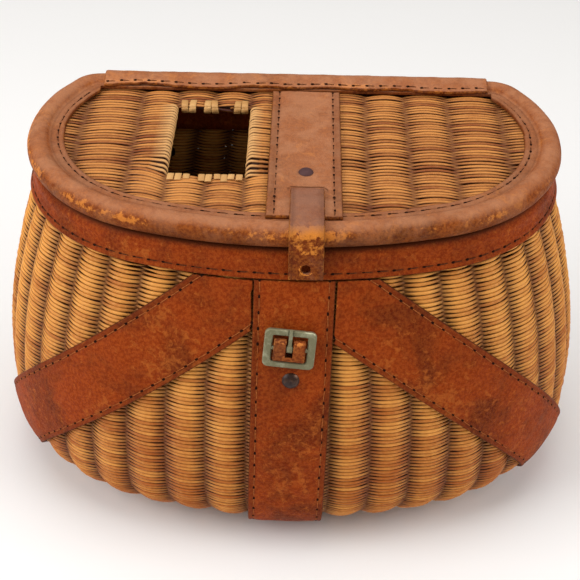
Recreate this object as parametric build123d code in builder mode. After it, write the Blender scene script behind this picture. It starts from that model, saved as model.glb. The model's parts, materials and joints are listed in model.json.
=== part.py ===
from build123d import *
import math
import os

os.makedirs("parts", exist_ok=True)

# A wicker creel: a D-shaped woven basket that bulges below its rim, a flat woven lid hinged along
# the straight back by a leather strip, and a leather harness sewn round the outside.
# Millimetres. +X is to the right, -Y is the front, +Z is up, and the base stands on z = 0.

# ---- plan of the lid: a D with a straight back -------------------------------------------
lid_half_width = 162.0
lid_depth = 182.0
widest_from_back = 69.0
front_radius = 295.0
corner_radius = 22.0

# ---- woven body ---------------------------------------------------------------------------
wall_top = 200.0
belly_height = 55.0
belly_out = 25.0          # how far the belly stands outside the lid's outline
rim_in = 5.0              # how far the woven rim stands inside it
base_in = 16.0            # how far the foot stands inside it
back_share = 0.35         # the back bulges by this share of the front's bulge
wall_thickness = 8.0
flute_count = 40          # one rounded column of weave for each stake
flute_depth = 3.2
flute_relief = 0.2        # keeps the columns at the tight corners inside the outline
base_thickness = 6.0

# ---- leather ------------------------------------------------------------------------------
seat = 0.3                # clearance between a piece and what it lies on
fold_gap = 0.45           # half the gap between two leather leaves at a fold
harness_leather = 2.0
panel_leather = 2.3
band_leather = 2.5
hinge_leather = 1.9
binding_leather = 2.2
strap_leather = 2.2
chape_leather = 1.5

# ---- rim ----------------------------------------------------------------------------------
rim_hoop_radius = 4.0
band_drop = 19.0          # from the top of the rim down to the band's lower edge
band_inner_leg = 8.0      # how far the band reaches down inside the wall

# ---- front panel and diagonal harness straps ------------------------------------------------
panel_width = 45.5
panel_top_x = 2.4         # the panel leans a little to the left on its way down
panel_lean = 1.1          # degrees
foot_clear = 5.0          # the panel and the straps end this far above the floor
harness_width = 45.5
# height of each strap's middle: start - slope * run - steepening * run^2
left_strap_path = (207.6, 0.652, 0.00089)
right_strap_path = (198.9, 0.503, 0.0019)
strap_stations = 9

# ---- lid ----------------------------------------------------------------------------------
lid_gap = 0.5
bead_radius = 7.25
lid_hoop_radius = 4.6
flange_width = 15.0       # from the middle of the bead to the flange's inner edge
weave_top = 1.5           # above the middle of the bead
weave_thickness = 5.0
rib_pitch = 30.0
rib_depth = 1.4
lid_panel_width = 43.0
lid_panel_x = 6.8
lid_panel_lap = 6.5       # how far the panel lies over the flange in front

# ---- hole for dropping fish in, on the left of the lid -----------------------------------------
hole_left = -74.0
hole_width = 46.0
hole_from_back = 39.0     # from the lid's back edge
hole_length = 78.0
wrap_width = 12.0
wrap_thickness = 1.2

# ---- closing strap ------------------------------------------------------------------------------
strap_width = 19.5
strap_x = 8.4
strap_drop = 24.0         # from the middle of the bead down to its end
strap_out = 0.65          # it leans out by this much to lie over the rim band
tail_from_front = 74.0    # its fixed end under the panel, from the lid's front edge
tail_level = -0.9         # under side of the tail, from the middle of the bead
slot_from_front = 43.1    # the slot in the lid panel that it comes up through
slot_length = 8.1
strap_hole_radius = 3.0
strap_hole_drop = 16.6
strap_hinge_lift = 0.12   # the free part turns just above the strap's upper side

# ---- buckle ---------------------------------------------------------------------------------------
buckle_x = 0.2
buckle_z = 156.0
buckle_tilt = -5.0
buckle_width = 29.2
buckle_height = 22.8
buckle_side_bar = 4.7
buckle_end_bar = 3.5
buckle_thickness = 2.4
bar_radius = 1.2
bar_lift = 3.4            # from the panel to the middle of the centre bar
tongue_width = 2.0
tongue_eye_width = 3.0
tongue_clear = 0.07       # running clearance of the tongue's eye on the bar
chape_width = 18.0
chape_tail = 26.0         # from the bar down to the tail's end
chape_fold_back = 4.8     # from the frame's end bar to the middle of the fold
chape_ramp = 5.4          # length over which the under leaf drops behind the panel
chape_round = 2.6         # the hump's lower corner is rounded over this length
chape_slack = 0.4
hump_gap = 0.6            # between the hump and the frame's lower bar

# ---- rivets -----------------------------------------------------------------------------------------
rivet_head_radius = 5.0
rivet_head_height = 1.9
lid_rivet_head_radius = 4.4
shank_radius = 1.6
burr_radius = 4.0
burr_thickness = 1.0
cap_radius = 2.6
cap_height = 0.9
hole_clear = 0.15
chape_rivet_x = 1.2
chape_rivet_z = 135.4
lid_rivet_x = 7.4
lid_rivet_from_front = 65.3

# ---- belt loops on the back ---------------------------------------------------------------------------
loop_x = 84.0
loop_z = 140.0
loop_width = 26.0
loop_length = 80.0
loop_foot = 16.0
loop_lift = 8.0           # clear height under the loop
loop_leather = 2.4

# ==== worked out from the sizes above =======================================================
lid_front = -lid_depth / 2
lid_back = lid_depth / 2
hole_front = lid_back - hole_from_back - hole_length
tail_start = lid_front + tail_from_front
slot_front = lid_front + slot_from_front
slot_back = slot_front + slot_length
reach = lid_depth - widest_from_back
side_radius = (2 * front_radius * reach - lid_half_width**2 - reach**2) / (2 * (front_radius - lid_half_width))
front_centre = Vector(0, lid_front + front_radius)
side_centre = Vector(lid_half_width - side_radius, lid_back - widest_from_back)

hoop_gap = rim_hoop_radius + seat
rim_top = wall_top + seat + rim_hoop_radius + hoop_gap + band_leather
band_bottom = rim_top - band_drop
bead_z = rim_top + lid_gap + bead_radius
hinge_y = lid_back
hinge_z = rim_top + lid_gap / 2

weave_bottom = weave_top - weave_thickness
flange_low = weave_top + seat
panel_out = seat + panel_leather


def bulge(height):
    """How far the woven wall stands outside the lid's outline at a height."""
    if height >= wall_top:
        return -rim_in
    if height >= belly_height:
        rise = (height - belly_height) / (wall_top - belly_height)
        return belly_out - (belly_out + rim_in) * rise**2
    drop = 1 - height / belly_height
    return belly_out - (belly_out + base_in) * drop**3


def bulge_slope(height):
    step = 0.5
    return (bulge(height + step) - bulge(height - step)) / (2 * step)


class Outline:
    """A D seen from above: one front arc, two side arcs, two corner arcs and a straight back."""

    def __init__(self, out, back_out, corner):
        self.back = lid_back + back_out
        corner_y = self.back - corner
        side = side_radius + out
        run = math.sqrt((side - corner) ** 2 - (corner_y - side_centre.Y) ** 2)
        self.corner_centre = Vector(side_centre.X + run, corner_y)
        front_end = math.atan2(side_centre.Y - front_centre.Y, side_centre.X)
        side_end = math.atan2(corner_y - side_centre.Y, run)
        # (centre, radius, first angle, last angle), from the front's middle round to the back
        self.arcs = [
            (front_centre, front_radius + out, -math.pi / 2, front_end),
            (side_centre, side, front_end, side_end),
            (self.corner_centre, corner, side_end, math.pi / 2),
        ]
        self.half = sum(r * (b - a) for _, r, a, b in self.arcs) + self.corner_centre.X

    def point(self, share, out=0.0):
        """The point at a share of the way round, from the front's middle towards +X."""
        mirrored = share % 1 > 0.5
        run = (1 - share % 1 if mirrored else share % 1) * 2 * self.half
        x, y = 0.0, self.back + out
        for centre, radius, first, last in self.arcs:
            if run <= radius * (last - first):
                angle = first + run / radius
                x = centre.X + (radius + out) * math.cos(angle)
                y = centre.Y + (radius + out) * math.sin(angle)
                break
            run -= radius * (last - first)
        else:
            x = self.corner_centre.X - run
        return (-x, y) if mirrored else (x, y)


def wall_outline(height):
    """The outline of the wall's crests at a height."""
    out = bulge(height)
    swell = out + rim_in
    return Outline(out, back_share * swell - rim_in, corner_radius - rim_in + swell / 2)


lid_outline = Outline(0.0, 0.0, corner_radius)
rim_outline = wall_outline(wall_top)
low_shares = (0.0, 0.07, 0.15, 0.25, 0.37, 0.52, 0.72, 1.0)
high_shares = (0.17, 0.34, 0.51, 0.68, 0.84, 1.0)
levels = [belly_height * share for share in low_shares]
levels += [belly_height + (wall_top - belly_height) * share for share in high_shares]


def trace(outline, out=0.0, closed=True):
    """Draw the outline as arcs, clockwise from the middle of the back, or from corner to corner."""
    right = [(c.X, c.Y, r + out, math.degrees(b), math.degrees(a - b)) for c, r, a, b in outline.arcs]
    corner_x = outline.corner_centre.X
    back = outline.back + out
    if closed:
        Line((0, back), (corner_x, back))
    for x, y, radius, start, size in reversed(right[1:]):
        CenterArc((x, y), radius, start, size)
    x, y, radius, start, size = right[0]
    CenterArc((x, y), radius, start, 2 * size)
    for x, y, radius, start, size in right[1:]:
        CenterArc((-x, y), radius, 180 - start - size, size)
    if closed:
        Line((-corner_x, back), (0, back))


def draw_outline(outline, out=0.0):
    with BuildLine() as line:
        trace(outline, out)
    make_face(line.edges())


def draw_flutes(outline):
    """One convex arc for each column of weave, with a valley on each side of it."""
    with BuildLine() as line:
        for i in range(flute_count):
            start = outline.point(i / flute_count, -flute_depth)
            crest = outline.point((i + 0.5) / flute_count, -flute_relief)
            end = outline.point((i + 1) / flute_count, -flute_depth)
            ThreePointArc(start, crest, end)
    make_face(line.edges())


def add_envelope(out, mode):
    """A solid up to the wall's crests, moved outwards by out."""
    sections = []
    for height in levels:
        with BuildSketch(Plane.XY.offset(height)) as section:
            draw_outline(wall_outline(height), out)
        sections.append(section.sketch)
    loft(sections, mode=mode)


def front_plane(x, height, out):
    """On the front of the wall, looking outwards, with its y axis up the wall."""
    slope = bulge_slope(height)
    return Plane((x, lid_front - bulge(height) - out, height), x_dir=(1, 0, 0), z_dir=(0, -1, -slope))


def back_plane(x, height, out):
    slope = back_share * bulge_slope(height)
    y = rim_outline.back + back_share * (bulge(height) + rim_in) + out
    return Plane((x, y, height), x_dir=(-1, 0, 0), z_dir=(0, 1, -slope))


def turned(plane, degrees):
    """The plane turned about its own normal."""
    angle = math.radians(degrees)
    x_dir = plane.x_dir * math.cos(angle) + plane.y_dir * math.sin(angle)
    return Plane(plane.origin, x_dir=x_dir, z_dir=plane.z_dir)


def wall_point(share, height):
    x, y = wall_outline(height).point(share)
    return Vector(x, y, height)


def sheet_profile(points, thickness):
    """A strip of leather seen edge on: its lower side follows the points, its upper side lies above."""
    upper = [(y, z + thickness) for y, z in points]
    with BuildLine() as line:
        Polyline(*points, *reversed(upper), close=True)
    make_face(line.edges())


def rivets(planes, head_radius, grip):
    """Rivets through a stack grip thick: domed heads above the planes, peened caps under the burrs."""
    under = -grip - burr_thickness - 2 * seat
    low = under - cap_height
    lift = seat / 3
    with BuildPart() as one:
        with BuildSketch(Plane.XZ):
            with BuildLine():
                Polyline(
                    (head_radius, lift), (shank_radius, lift), (shank_radius, under), (cap_radius, under),
                    (cap_radius, under - cap_height * 0.3), (cap_radius * 0.6, low), (0, low),
                    (0, rivet_head_height),
                )
                crown = (head_radius * 0.72, rivet_head_height * 0.72)
                ThreePointArc((0, rivet_head_height), crown, (head_radius, lift))
            make_face()
        revolve(axis=Axis.Z)
    with BuildPart() as placed:
        for plane in planes:
            with Locations(plane.location):
                add(one.part)
    return placed


def burrs(planes, grip):
    """The loose washers that the rivets are peened over."""
    with BuildPart() as placed:
        for plane in planes:
            with BuildSketch(plane.offset(-grip - seat - burr_thickness)):
                Circle(burr_radius)
                Circle(shank_radius + hole_clear, mode=Mode.SUBTRACT)
            extrude(amount=burr_thickness)
    return placed


def rivet_hole(plane, depth):
    """Cut the shank's clearance hole through the part in hand."""
    with BuildSketch(plane.offset(seat * 2)) as hole:
        Circle(shank_radius + hole_clear)
    extrude(hole.sketch, amount=-depth, mode=Mode.SUBTRACT)


# planes that several pieces share
chape_rivet_plane = front_plane(chape_rivet_x, chape_rivet_z, panel_out)
buckle_plane = turned(front_plane(buckle_x, buckle_z, panel_out), buckle_tilt)
bar_plane = buckle_plane.offset(bar_lift)
lid_panel_top = bead_z + flange_low + binding_leather
lid_rivet_plane = Plane((lid_rivet_x, lid_front + lid_rivet_from_front, lid_panel_top))
chape_grip = panel_out + wall_thickness
lid_grip = binding_leather + seat + weave_thickness
loop_planes = {
    "left": back_plane(-loop_x, loop_z, seat),
    "right": back_plane(loop_x, loop_z, seat),
}
loop_rivet_offset = loop_length / 2 - loop_foot / 2
loop_grip = loop_leather + wall_thickness + 3 * seat
loop_rivet_planes = [
    Plane(plane.from_local_coords((0, side * loop_rivet_offset, loop_leather)), plane.x_dir, plane.z_dir)
    for plane in loop_planes.values()
    for side in (1, -1)
]

# chape seen edge on, in the buckle's plane: (up the panel, out from the panel)
loop_half = bar_radius + seat
opening_half = buckle_height / 2 - buckle_end_bar
loop_top = opening_half - chape_fold_back
chape_low = bar_lift - loop_half - chape_leather
chape_high = bar_lift + loop_half + chape_leather
tail_high = -panel_out - 1.0
tail_low = tail_high - 1.2 * chape_leather
slot_low = -13.4
slot_high = -5.2
hump_low = hump_gap - opening_half
notch_low = -4.4          # the notch for the tongue runs from here round the fold
notch_high = loop_top + loop_half + chape_leather + 1.0


chape_hip = 0.27 * chape_round    # how far the rounded corner stays inside the square one
pocket_spare = 12.0


def draw_chape():
    with BuildLine() as outside:
        Line((-chape_tail, tail_low), (-chape_tail, tail_high))
        Line((-chape_tail, tail_high), (slot_low + chape_slack, tail_high))
        Line((slot_low + chape_slack, tail_high), (hump_low, 2 * seat))
        Line((hump_low, 2 * seat), (hump_low, bar_lift + 1))
        ThreePointArc((hump_low, bar_lift + 1), (hump_low + chape_hip, chape_high - chape_hip), (hump_low + chape_round, chape_high))
        Line((hump_low + chape_round, chape_high), (loop_top, chape_high))
        turn = (loop_top + loop_half + chape_leather, bar_lift)
        ThreePointArc((loop_top, chape_high), turn, (loop_top, chape_low))
        Line((loop_top, chape_low), (slot_high - chape_slack, chape_low))
        Line((slot_high - chape_slack, chape_low), (slot_high - chape_ramp, tail_low))
        Line((slot_high - chape_ramp, tail_low), (-chape_tail, tail_low))
    make_face(outside.edges())
    with BuildLine() as inside:
        low = bar_lift - loop_half
        high = bar_lift + loop_half
        Line((-chape_round, low), (-chape_round, high))
        Line((-chape_round, high), (loop_top, high))
        ThreePointArc((loop_top, high), (loop_top + loop_half, bar_lift), (loop_top, low))
        Line((loop_top, low), (-chape_round, low))
    make_face(inside.edges(), mode=Mode.SUBTRACT)


chape_side = Plane(buckle_plane.origin, x_dir=buckle_plane.y_dir, z_dir=buckle_plane.x_dir)

# ==== woven body =============================================================================

with BuildPart() as woven_wall:
    for height in levels:
        with BuildSketch(Plane.XY.offset(height)):
            draw_flutes(wall_outline(height))
    loft(ruled=True)
    add_envelope(-wall_thickness, Mode.SUBTRACT)
    # the chape's tail and its rivet press into the weave behind the panel
    with BuildSketch(chape_side):
        with Locations(((slot_high - chape_ramp - chape_tail) / 2, tail_high)):
            Rectangle(chape_tail + slot_high - chape_ramp + 4 * seat + pocket_spare, 2 * (tail_high - tail_low + seat))
    extrude(amount=chape_width / 2 + seat, both=True, mode=Mode.SUBTRACT)
    rivet_hole(chape_rivet_plane, chape_grip + 4)
    for plane in loop_rivet_planes:
        rivet_hole(plane, loop_grip + 4)
woven_wall.part.label = "woven_wall"

with BuildPart() as woven_base:
    for height in (0.0, base_thickness):
        with BuildSketch(Plane.XY.offset(height)):
            draw_outline(wall_outline(height), -wall_thickness - seat)
    loft(ruled=True)
woven_base.part.label = "woven_base"

with BuildPart() as rim_hoop:
    with BuildLine(Plane.XY.offset(wall_top + hoop_gap)):
        trace(rim_outline, -wall_thickness / 2)
    start = Vector(0, rim_outline.back - wall_thickness / 2, wall_top + hoop_gap)
    with BuildSketch(Plane(start, x_dir=(0, 1, 0), z_dir=(1, 0, 0))):
        Circle(rim_hoop_radius)
    sweep()
rim_hoop.part.label = "rim_hoop"

# ==== leather harness on the body ==============================================================

with BuildPart() as rim_band:
    # outer skirt, which follows the flare of the wall
    add_envelope(seat + band_leather, Mode.ADD)
    add_envelope(seat, Mode.SUBTRACT)
    with Locations((0, 0, (band_bottom + wall_top) / 2)):
        Box(4 * lid_half_width, 4 * lid_depth, wall_top - band_bottom, mode=Mode.INTERSECT)
    # folded over the hoop and down the inside
    with BuildLine(Plane.XY.offset(wall_top)):
        trace(rim_outline, -wall_thickness / 2)
    start = Vector(0, rim_outline.back - wall_thickness / 2, wall_top)
    inner = wall_thickness / 2 + seat
    outer = inner + band_leather
    with BuildSketch(Plane(start, x_dir=(0, 1, 0), z_dir=(1, 0, 0))):
        with BuildLine():
            Line((inner, 0), (outer, 0))
            Line((outer, 0), (outer, hoop_gap))
            ThreePointArc((outer, hoop_gap), (0, hoop_gap + outer), (-outer, hoop_gap))
            Line((-outer, hoop_gap), (-outer, -band_inner_leg))
            Line((-outer, -band_inner_leg), (-inner, -band_inner_leg))
            Line((-inner, -band_inner_leg), (-inner, hoop_gap))
            ThreePointArc((-inner, hoop_gap), (0, hoop_gap + inner), (inner, hoop_gap))
            Line((inner, hoop_gap), (inner, 0))
        make_face()
    sweep()
rim_band.part.label = "rim_band"

with BuildPart() as front_panel:
    add_envelope(panel_out, Mode.ADD)
    add_envelope(seat, Mode.SUBTRACT)
    panel_height = band_bottom - seat - foot_clear
    with BuildSketch(Plane.XZ.offset(-lid_front / 2)):
        with Locations(Location((panel_top_x, band_bottom, 0), (0, 0, -panel_lean))):
            Rectangle(panel_width, 3 * wall_top)
        with Locations((0, foot_clear + panel_height / 2)):
            Rectangle(4 * panel_width, panel_height, mode=Mode.INTERSECT)
    extrude(amount=lid_depth, mode=Mode.INTERSECT)
    # slot that the buckle's chape comes out of
    with BuildSketch(buckle_plane.offset(seat)):
        with Locations((0, (slot_low + slot_high) / 2)):
            RectangleRounded(chape_width + 2 * seat, slot_high - slot_low, 1.0)
    extrude(amount=-panel_out - 3 * seat, mode=Mode.SUBTRACT)
    rivet_hole(chape_rivet_plane, 2 * panel_out)
front_panel.part.label = "front_panel"


def strap_height(path, run):
    start, slope, steepening = path
    return start - slope * run - steepening * run**2


def harness_strap(side, path):
    """A strap that runs from beside the front panel down round one side to the foot."""
    reference = wall_outline(belly_height).half * 2
    first = panel_width / 2 - harness_width / 2
    last = first
    while strap_height(path, last) > -harness_width / 2:
        last += 2.0
    with BuildPart() as strap:
        add_envelope(seat + harness_leather, Mode.ADD)
        add_envelope(seat, Mode.SUBTRACT)
        for i in range(strap_stations):
            run = first + (last - first) * i / (strap_stations - 1)
            step = 1.0
            height = max(strap_height(path, run), 1.0)
            share = side * run / reference
            here = wall_point(share, height)
            along = wall_point(side * (run + step) / reference, height) - here
            along = along.normalized() - Vector(0, 0, path[1] + 2 * path[2] * run)
            across = wall_point(share, height + step) - wall_point(share, height - step)
            outward = (wall_point(share + side * 0.002, height) - here).cross(across) * side
            with BuildSketch(Plane(here, x_dir=along.cross(outward), z_dir=along)):
                Rectangle(harness_width, 6 * wall_thickness)
        loft(mode=Mode.INTERSECT)
        # it stops at the rim band, at the front panel and just above the floor
        with Locations((0, 0, (foot_clear + band_bottom - seat) / 2)):
            Box(4 * lid_half_width, 4 * lid_depth, band_bottom - seat - foot_clear, mode=Mode.INTERSECT)
        with BuildSketch(Plane.XZ.offset(-lid_front / 2)):
            with Locations(Location((panel_top_x, band_bottom, 0), (0, 0, -panel_lean))):
                Rectangle(panel_width + 2 * seat, 3 * wall_top)
        extrude(amount=lid_depth, mode=Mode.SUBTRACT)
    return strap


left_harness_strap = harness_strap(-1, left_strap_path)
left_harness_strap.part.label = "left_harness_strap"
right_harness_strap = harness_strap(1, right_strap_path)
right_harness_strap.part.label = "right_harness_strap"

with BuildPart() as hinge_strip_body_leaf:
    leaf_half = lid_outline.corner_centre.X - 2.0
    leaf_out = seat + band_leather + seat
    leaf_top = hinge_z - fold_gap
    add_envelope(leaf_out + hinge_leather, Mode.ADD)
    add_envelope(leaf_out, Mode.SUBTRACT)
    with Locations((0, lid_back, (band_bottom - 4 + wall_top) / 2)):
        Box(2 * leaf_half, lid_depth, wall_top - band_bottom + 4, mode=Mode.INTERSECT)
    with Locations((0, rim_outline.back + leaf_out + hinge_leather / 2, (wall_top + leaf_top) / 2)):
        Box(2 * leaf_half, hinge_leather, leaf_top - wall_top)
hinge_strip_body_leaf.part.label = "hinge_strip_body_leaf"

# ==== belt loops ================================================================================


def belt_loop(plane):
    half = loop_length / 2
    knee = half - loop_foot
    with BuildPart() as loop:
        with BuildSketch(Plane(plane.origin, x_dir=plane.y_dir, z_dir=plane.x_dir)):
            with BuildLine():
                lower = FilletPolyline(
                    (-half, 0), (-knee, 0), (-knee + 9, loop_lift), (knee - 9, loop_lift), (knee, 0), (half, 0),
                    radius=4.0,
                )
                offset(lower, amount=loop_leather, side=Side.LEFT, closed=True)
            make_face()
        extrude(amount=loop_width / 2, both=True)
        for rivet_plane in loop_rivet_planes:
            rivet_hole(rivet_plane, loop_leather + 6 * seat)
    return loop


left_belt_loop = belt_loop(loop_planes["left"])
left_belt_loop.part.label = "left_belt_loop"
right_belt_loop = belt_loop(loop_planes["right"])
right_belt_loop.part.label = "right_belt_loop"

belt_loop_rivets = rivets(loop_rivet_planes, lid_rivet_head_radius, loop_grip)
belt_loop_rivets.part.label = "belt_loop_rivets"
belt_loop_burrs = burrs(loop_rivet_planes, loop_grip)
belt_loop_burrs.part.label = "belt_loop_burrs"

# ==== buckle ======================================================================================

with BuildPart() as buckle_chape:
    with BuildSketch(chape_side):
        draw_chape()
    extrude(amount=chape_width / 2, both=True)
    # notch for the tongue's eye
    with BuildSketch(buckle_plane.offset(chape_low - seat)):
        with Locations((0, (notch_low + notch_high) / 2)):
            Rectangle(tongue_eye_width + 4 * seat, notch_high - notch_low)
    extrude(amount=chape_high - chape_low + 2 * seat, mode=Mode.SUBTRACT)
    rivet_hole(chape_rivet_plane, 4 * panel_out)
buckle_chape.part.label = "buckle_chape"

chape_rivet = rivets([chape_rivet_plane], rivet_head_radius, chape_grip)
chape_rivet.part.label = "chape_rivet"
chape_rivet_burr = burrs([chape_rivet_plane], chape_grip)
chape_rivet_burr.part.label = "chape_rivet_burr"

with BuildPart() as buckle_frame:
    with BuildSketch(bar_plane.offset(-buckle_thickness / 2)):
        RectangleRounded(buckle_width, buckle_height, 3.2)
        RectangleRounded(
            buckle_width - 2 * buckle_side_bar, buckle_height - 2 * buckle_end_bar, 0.8, mode=Mode.SUBTRACT
        )
    extrude(amount=buckle_thickness)
    top = buckle_frame.faces().sort_by(Axis(bar_plane.origin, bar_plane.z_dir))[-1]
    chamfer(top.edges(), 0.6)
    # rest for the tongue's tip
    with BuildSketch(bar_plane.offset(buckle_thickness / 2 - 0.6)):
        with Locations((0, buckle_height / 2)):
            Rectangle(tongue_width + 4 * seat, 3 * buckle_end_bar)
    extrude(amount=buckle_thickness, mode=Mode.SUBTRACT)
    with BuildSketch(Plane(bar_plane.origin, x_dir=bar_plane.y_dir, z_dir=bar_plane.x_dir)):
        Circle(bar_radius)
    extrude(amount=buckle_width / 2 - buckle_side_bar / 2, both=True)
buckle_frame.part.label = "buckle_frame"

eye_outer = bar_radius + tongue_clear + 1.1
with BuildPart() as buckle_tongue:
    with BuildSketch(Plane(bar_plane.origin, x_dir=bar_plane.y_dir, z_dir=bar_plane.x_dir)):
        Circle(eye_outer)
        with BuildLine():
            low = buckle_thickness / 2 - 0.6 + 0.25
            tip = buckle_height / 2 + 0.4
            Line((0, low), (tip, low))
            ThreePointArc((tip, low), (tip + 0.5, low + 0.7), (tip - 0.4, low + 1.4))
            Line((tip - 0.4, low + 1.4), (0, eye_outer))
            Line((0, eye_outer), (0, low))
        make_face()
        Circle(bar_radius + tongue_clear, mode=Mode.SUBTRACT)
    extrude(amount=tongue_eye_width / 2, both=True)
    # the prong is narrower than its eye
    with BuildSketch(bar_plane.offset(-2 * eye_outer)):
        with Locations((0, eye_outer + buckle_height / 2)):
            Rectangle(2 * tongue_eye_width, buckle_height)
            Rectangle(tongue_width, buckle_height, mode=Mode.SUBTRACT)
    extrude(amount=5 * eye_outer, mode=Mode.SUBTRACT)
buckle_tongue.part.label = "buckle_tongue"

# ==== lid ============================================================================================

with BuildPart() as lid_weave:
    with BuildSketch(Plane.XY.offset(bead_z + weave_bottom)):
        draw_outline(lid_outline, -bead_radius - (bead_radius - binding_leather) - 1.2 * seat)
        with Locations((hole_left + hole_width / 2, hole_front + hole_length / 2)):
            Rectangle(hole_width, hole_length, mode=Mode.SUBTRACT)
    extrude(amount=weave_thickness)
    # one rounded rib for each stake, on both faces
    with BuildSketch(Plane.XZ.offset(-lid_depth)):
        with BuildLine():
            count = math.ceil(2 * lid_half_width / rib_pitch)
            first = -count * rib_pitch / 2
            top = bead_z + weave_top
            bottom = bead_z + weave_bottom
            for i in range(count):
                x = first + i * rib_pitch
                ThreePointArc((x, top - rib_depth), (x + rib_pitch / 2, top), (x + rib_pitch, top - rib_depth))
            Line((-first, top - rib_depth), (-first, bottom + rib_depth))
            for i in range(count):
                x = -first - i * rib_pitch
                ThreePointArc((x, bottom + rib_depth), (x - rib_pitch / 2, bottom), (x - rib_pitch, bottom + rib_depth))
            Line((first, bottom + rib_depth), (first, top - rib_depth))
        make_face()
    extrude(amount=2 * lid_depth, mode=Mode.INTERSECT)
    # the strap's tail presses into the weave under the lid panel
    with Locations((strap_x, (tail_start + slot_front) / 2 + 2, bead_z + weave_top)):
        Box(strap_width + 2 * seat, tail_start - slot_front + 4, 2 * (weave_top - tail_level + seat), mode=Mode.SUBTRACT)
    rivet_hole(lid_rivet_plane, lid_grip + 4)
lid_weave.part.label = "lid_weave"

with BuildPart() as lid_hoop:
    with BuildLine(Plane.XY.offset(bead_z)):
        trace(lid_outline, -bead_radius)
    start = Vector(0, lid_outline.back - bead_radius, bead_z)
    with BuildSketch(Plane(start, x_dir=(0, 1, 0), z_dir=(1, 0, 0))):
        Circle(lid_hoop_radius)
    sweep()
lid_hoop.part.label = "lid_hoop"


def on_circle(radius, height, side):
    """The point on a circle about the bead's middle at a height, on one side of it."""
    return (side * math.sqrt(radius**2 - height**2), height)


with BuildPart() as lid_binding:
    with BuildLine(Plane.XY.offset(bead_z)):
        trace(lid_outline, -bead_radius, closed=False)
    start = Vector(lid_outline.corner_centre.X, lid_outline.back - bead_radius, bead_z)
    with BuildSketch(Plane(start, x_dir=(0, 1, 0), z_dir=(1, 0, 0))):
        inner = bead_radius - binding_leather
        flange_high = flange_low + binding_leather
        under_high = weave_bottom - seat
        under_low = under_high - binding_leather
        with BuildLine():
            Line((-flange_width, flange_low), (-flange_width, flange_high))
            Line((-flange_width, flange_high), on_circle(bead_radius, flange_high, -1))
            ThreePointArc(
                on_circle(bead_radius, flange_high, -1), (bead_radius, 0), on_circle(bead_radius, under_low, -1)
            )
            Line(on_circle(bead_radius, under_low, -1), (-flange_width, under_low))
            Line((-flange_width, under_low), (-flange_width, under_high))
            Line((-flange_width, under_high), on_circle(inner, under_high, -1))
            ThreePointArc(on_circle(inner, under_high, -1), (inner, 0), on_circle(inner, flange_low, -1))
            Line(on_circle(inner, flange_low, -1), (-flange_width, flange_low))
        make_face()
    sweep()
lid_binding.part.label = "lid_binding"

with BuildPart() as lid_center_panel:
    front_end = lid_front + bead_radius + flange_width - lid_panel_lap
    back_end = lid_back - bead_radius - flange_width - seat
    step_y = front_end + lid_panel_lap + 1.2
    low = bead_z + flange_low
    high = bead_z + flange_high + seat
    with BuildSketch(Plane.YZ.offset(lid_panel_x)) as panel_side:
        sheet_profile(
            [(back_end, low), (step_y + 8, low), (step_y, high), (front_end, high)], binding_leather
        )
    extrude(panel_side.sketch, amount=lid_panel_width / 2, both=True)
    # slot that the closing strap comes up through
    with Locations((strap_x, (slot_front + slot_back) / 2, low)):
        Box(strap_width + 2 * seat, slot_back - slot_front, 6 * binding_leather, mode=Mode.SUBTRACT)
    rivet_hole(lid_rivet_plane, 2 * panel_out)
lid_center_panel.part.label = "lid_center_panel"

with BuildPart() as hinge_strip_lid_leaf:
    inner = bead_radius - hinge_leather
    drop = hinge_z + fold_gap - bead_z
    strip_high = flange_low + hinge_leather
    bead_back = Vector(0, lid_back - bead_radius, bead_z)
    with BuildSketch(Plane(bead_back, x_dir=(0, 1, 0), z_dir=(1, 0, 0))):
        with BuildLine():
            Line((-flange_width, flange_low), (-flange_width, strip_high))
            Line((-flange_width, strip_high), on_circle(bead_radius, strip_high, -1))
            outer_turn = (bead_radius * math.sin(0.6), bead_radius * math.cos(0.6))
            ThreePointArc(on_circle(bead_radius, strip_high, -1), outer_turn, (bead_radius, 0))
            Line((bead_radius, 0), (bead_radius, drop))
            Line((bead_radius, drop), (inner, drop))
            Line((inner, drop), (inner, 0))
            inner_turn = (inner * math.sin(0.6), inner * math.cos(0.6))
            ThreePointArc((inner, 0), inner_turn, on_circle(inner, flange_low, -1))
            Line(on_circle(inner, flange_low, -1), (-flange_width, flange_low))
        make_face()
    extrude(amount=leaf_half, both=True)
hinge_strip_lid_leaf.part.label = "hinge_strip_lid_leaf"


def hole_wrap(edge, side):
    """Flat cane wrapped over an edge of the fish hole: side points from the hole into the weave."""
    tip = edge - side * (seat + wrap_thickness)
    bite = edge - side * seat
    root = edge + side * wrap_width
    over = bead_z + weave_top + seat
    under = bead_z + weave_bottom - seat
    with BuildPart() as wrap:
        with BuildSketch(Plane.YZ.offset(hole_left + hole_width / 2)):
            with BuildLine():
                Polyline(
                    (root, over), (root, over + wrap_thickness), (tip, over + wrap_thickness),
                    (tip, under - wrap_thickness), (root, under - wrap_thickness), (root, under),
                    (bite, under), (bite, over), close=True,
                )
            make_face()
        extrude(amount=hole_width / 2 - seat, both=True)
        long_edges = wrap.edges().filter_by(Axis.X).filter_by(lambda edge: abs(edge.center().Y - tip) < 0.01)
        fillet(long_edges, wrap_thickness * 0.9)
    return wrap


fish_hole_front_wrap = hole_wrap(hole_front, -1)
fish_hole_front_wrap.part.label = "fish_hole_front_wrap"
fish_hole_back_wrap = hole_wrap(hole_front + hole_length, 1)
fish_hole_back_wrap.part.label = "fish_hole_back_wrap"

lid_rivet = rivets([lid_rivet_plane], lid_rivet_head_radius, lid_grip)
lid_rivet.part.label = "lid_rivet"
lid_rivet_burr = burrs([lid_rivet_plane], lid_grip)
lid_rivet_burr.part.label = "lid_rivet_burr"

# ==== closing strap ====================================================================================

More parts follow.
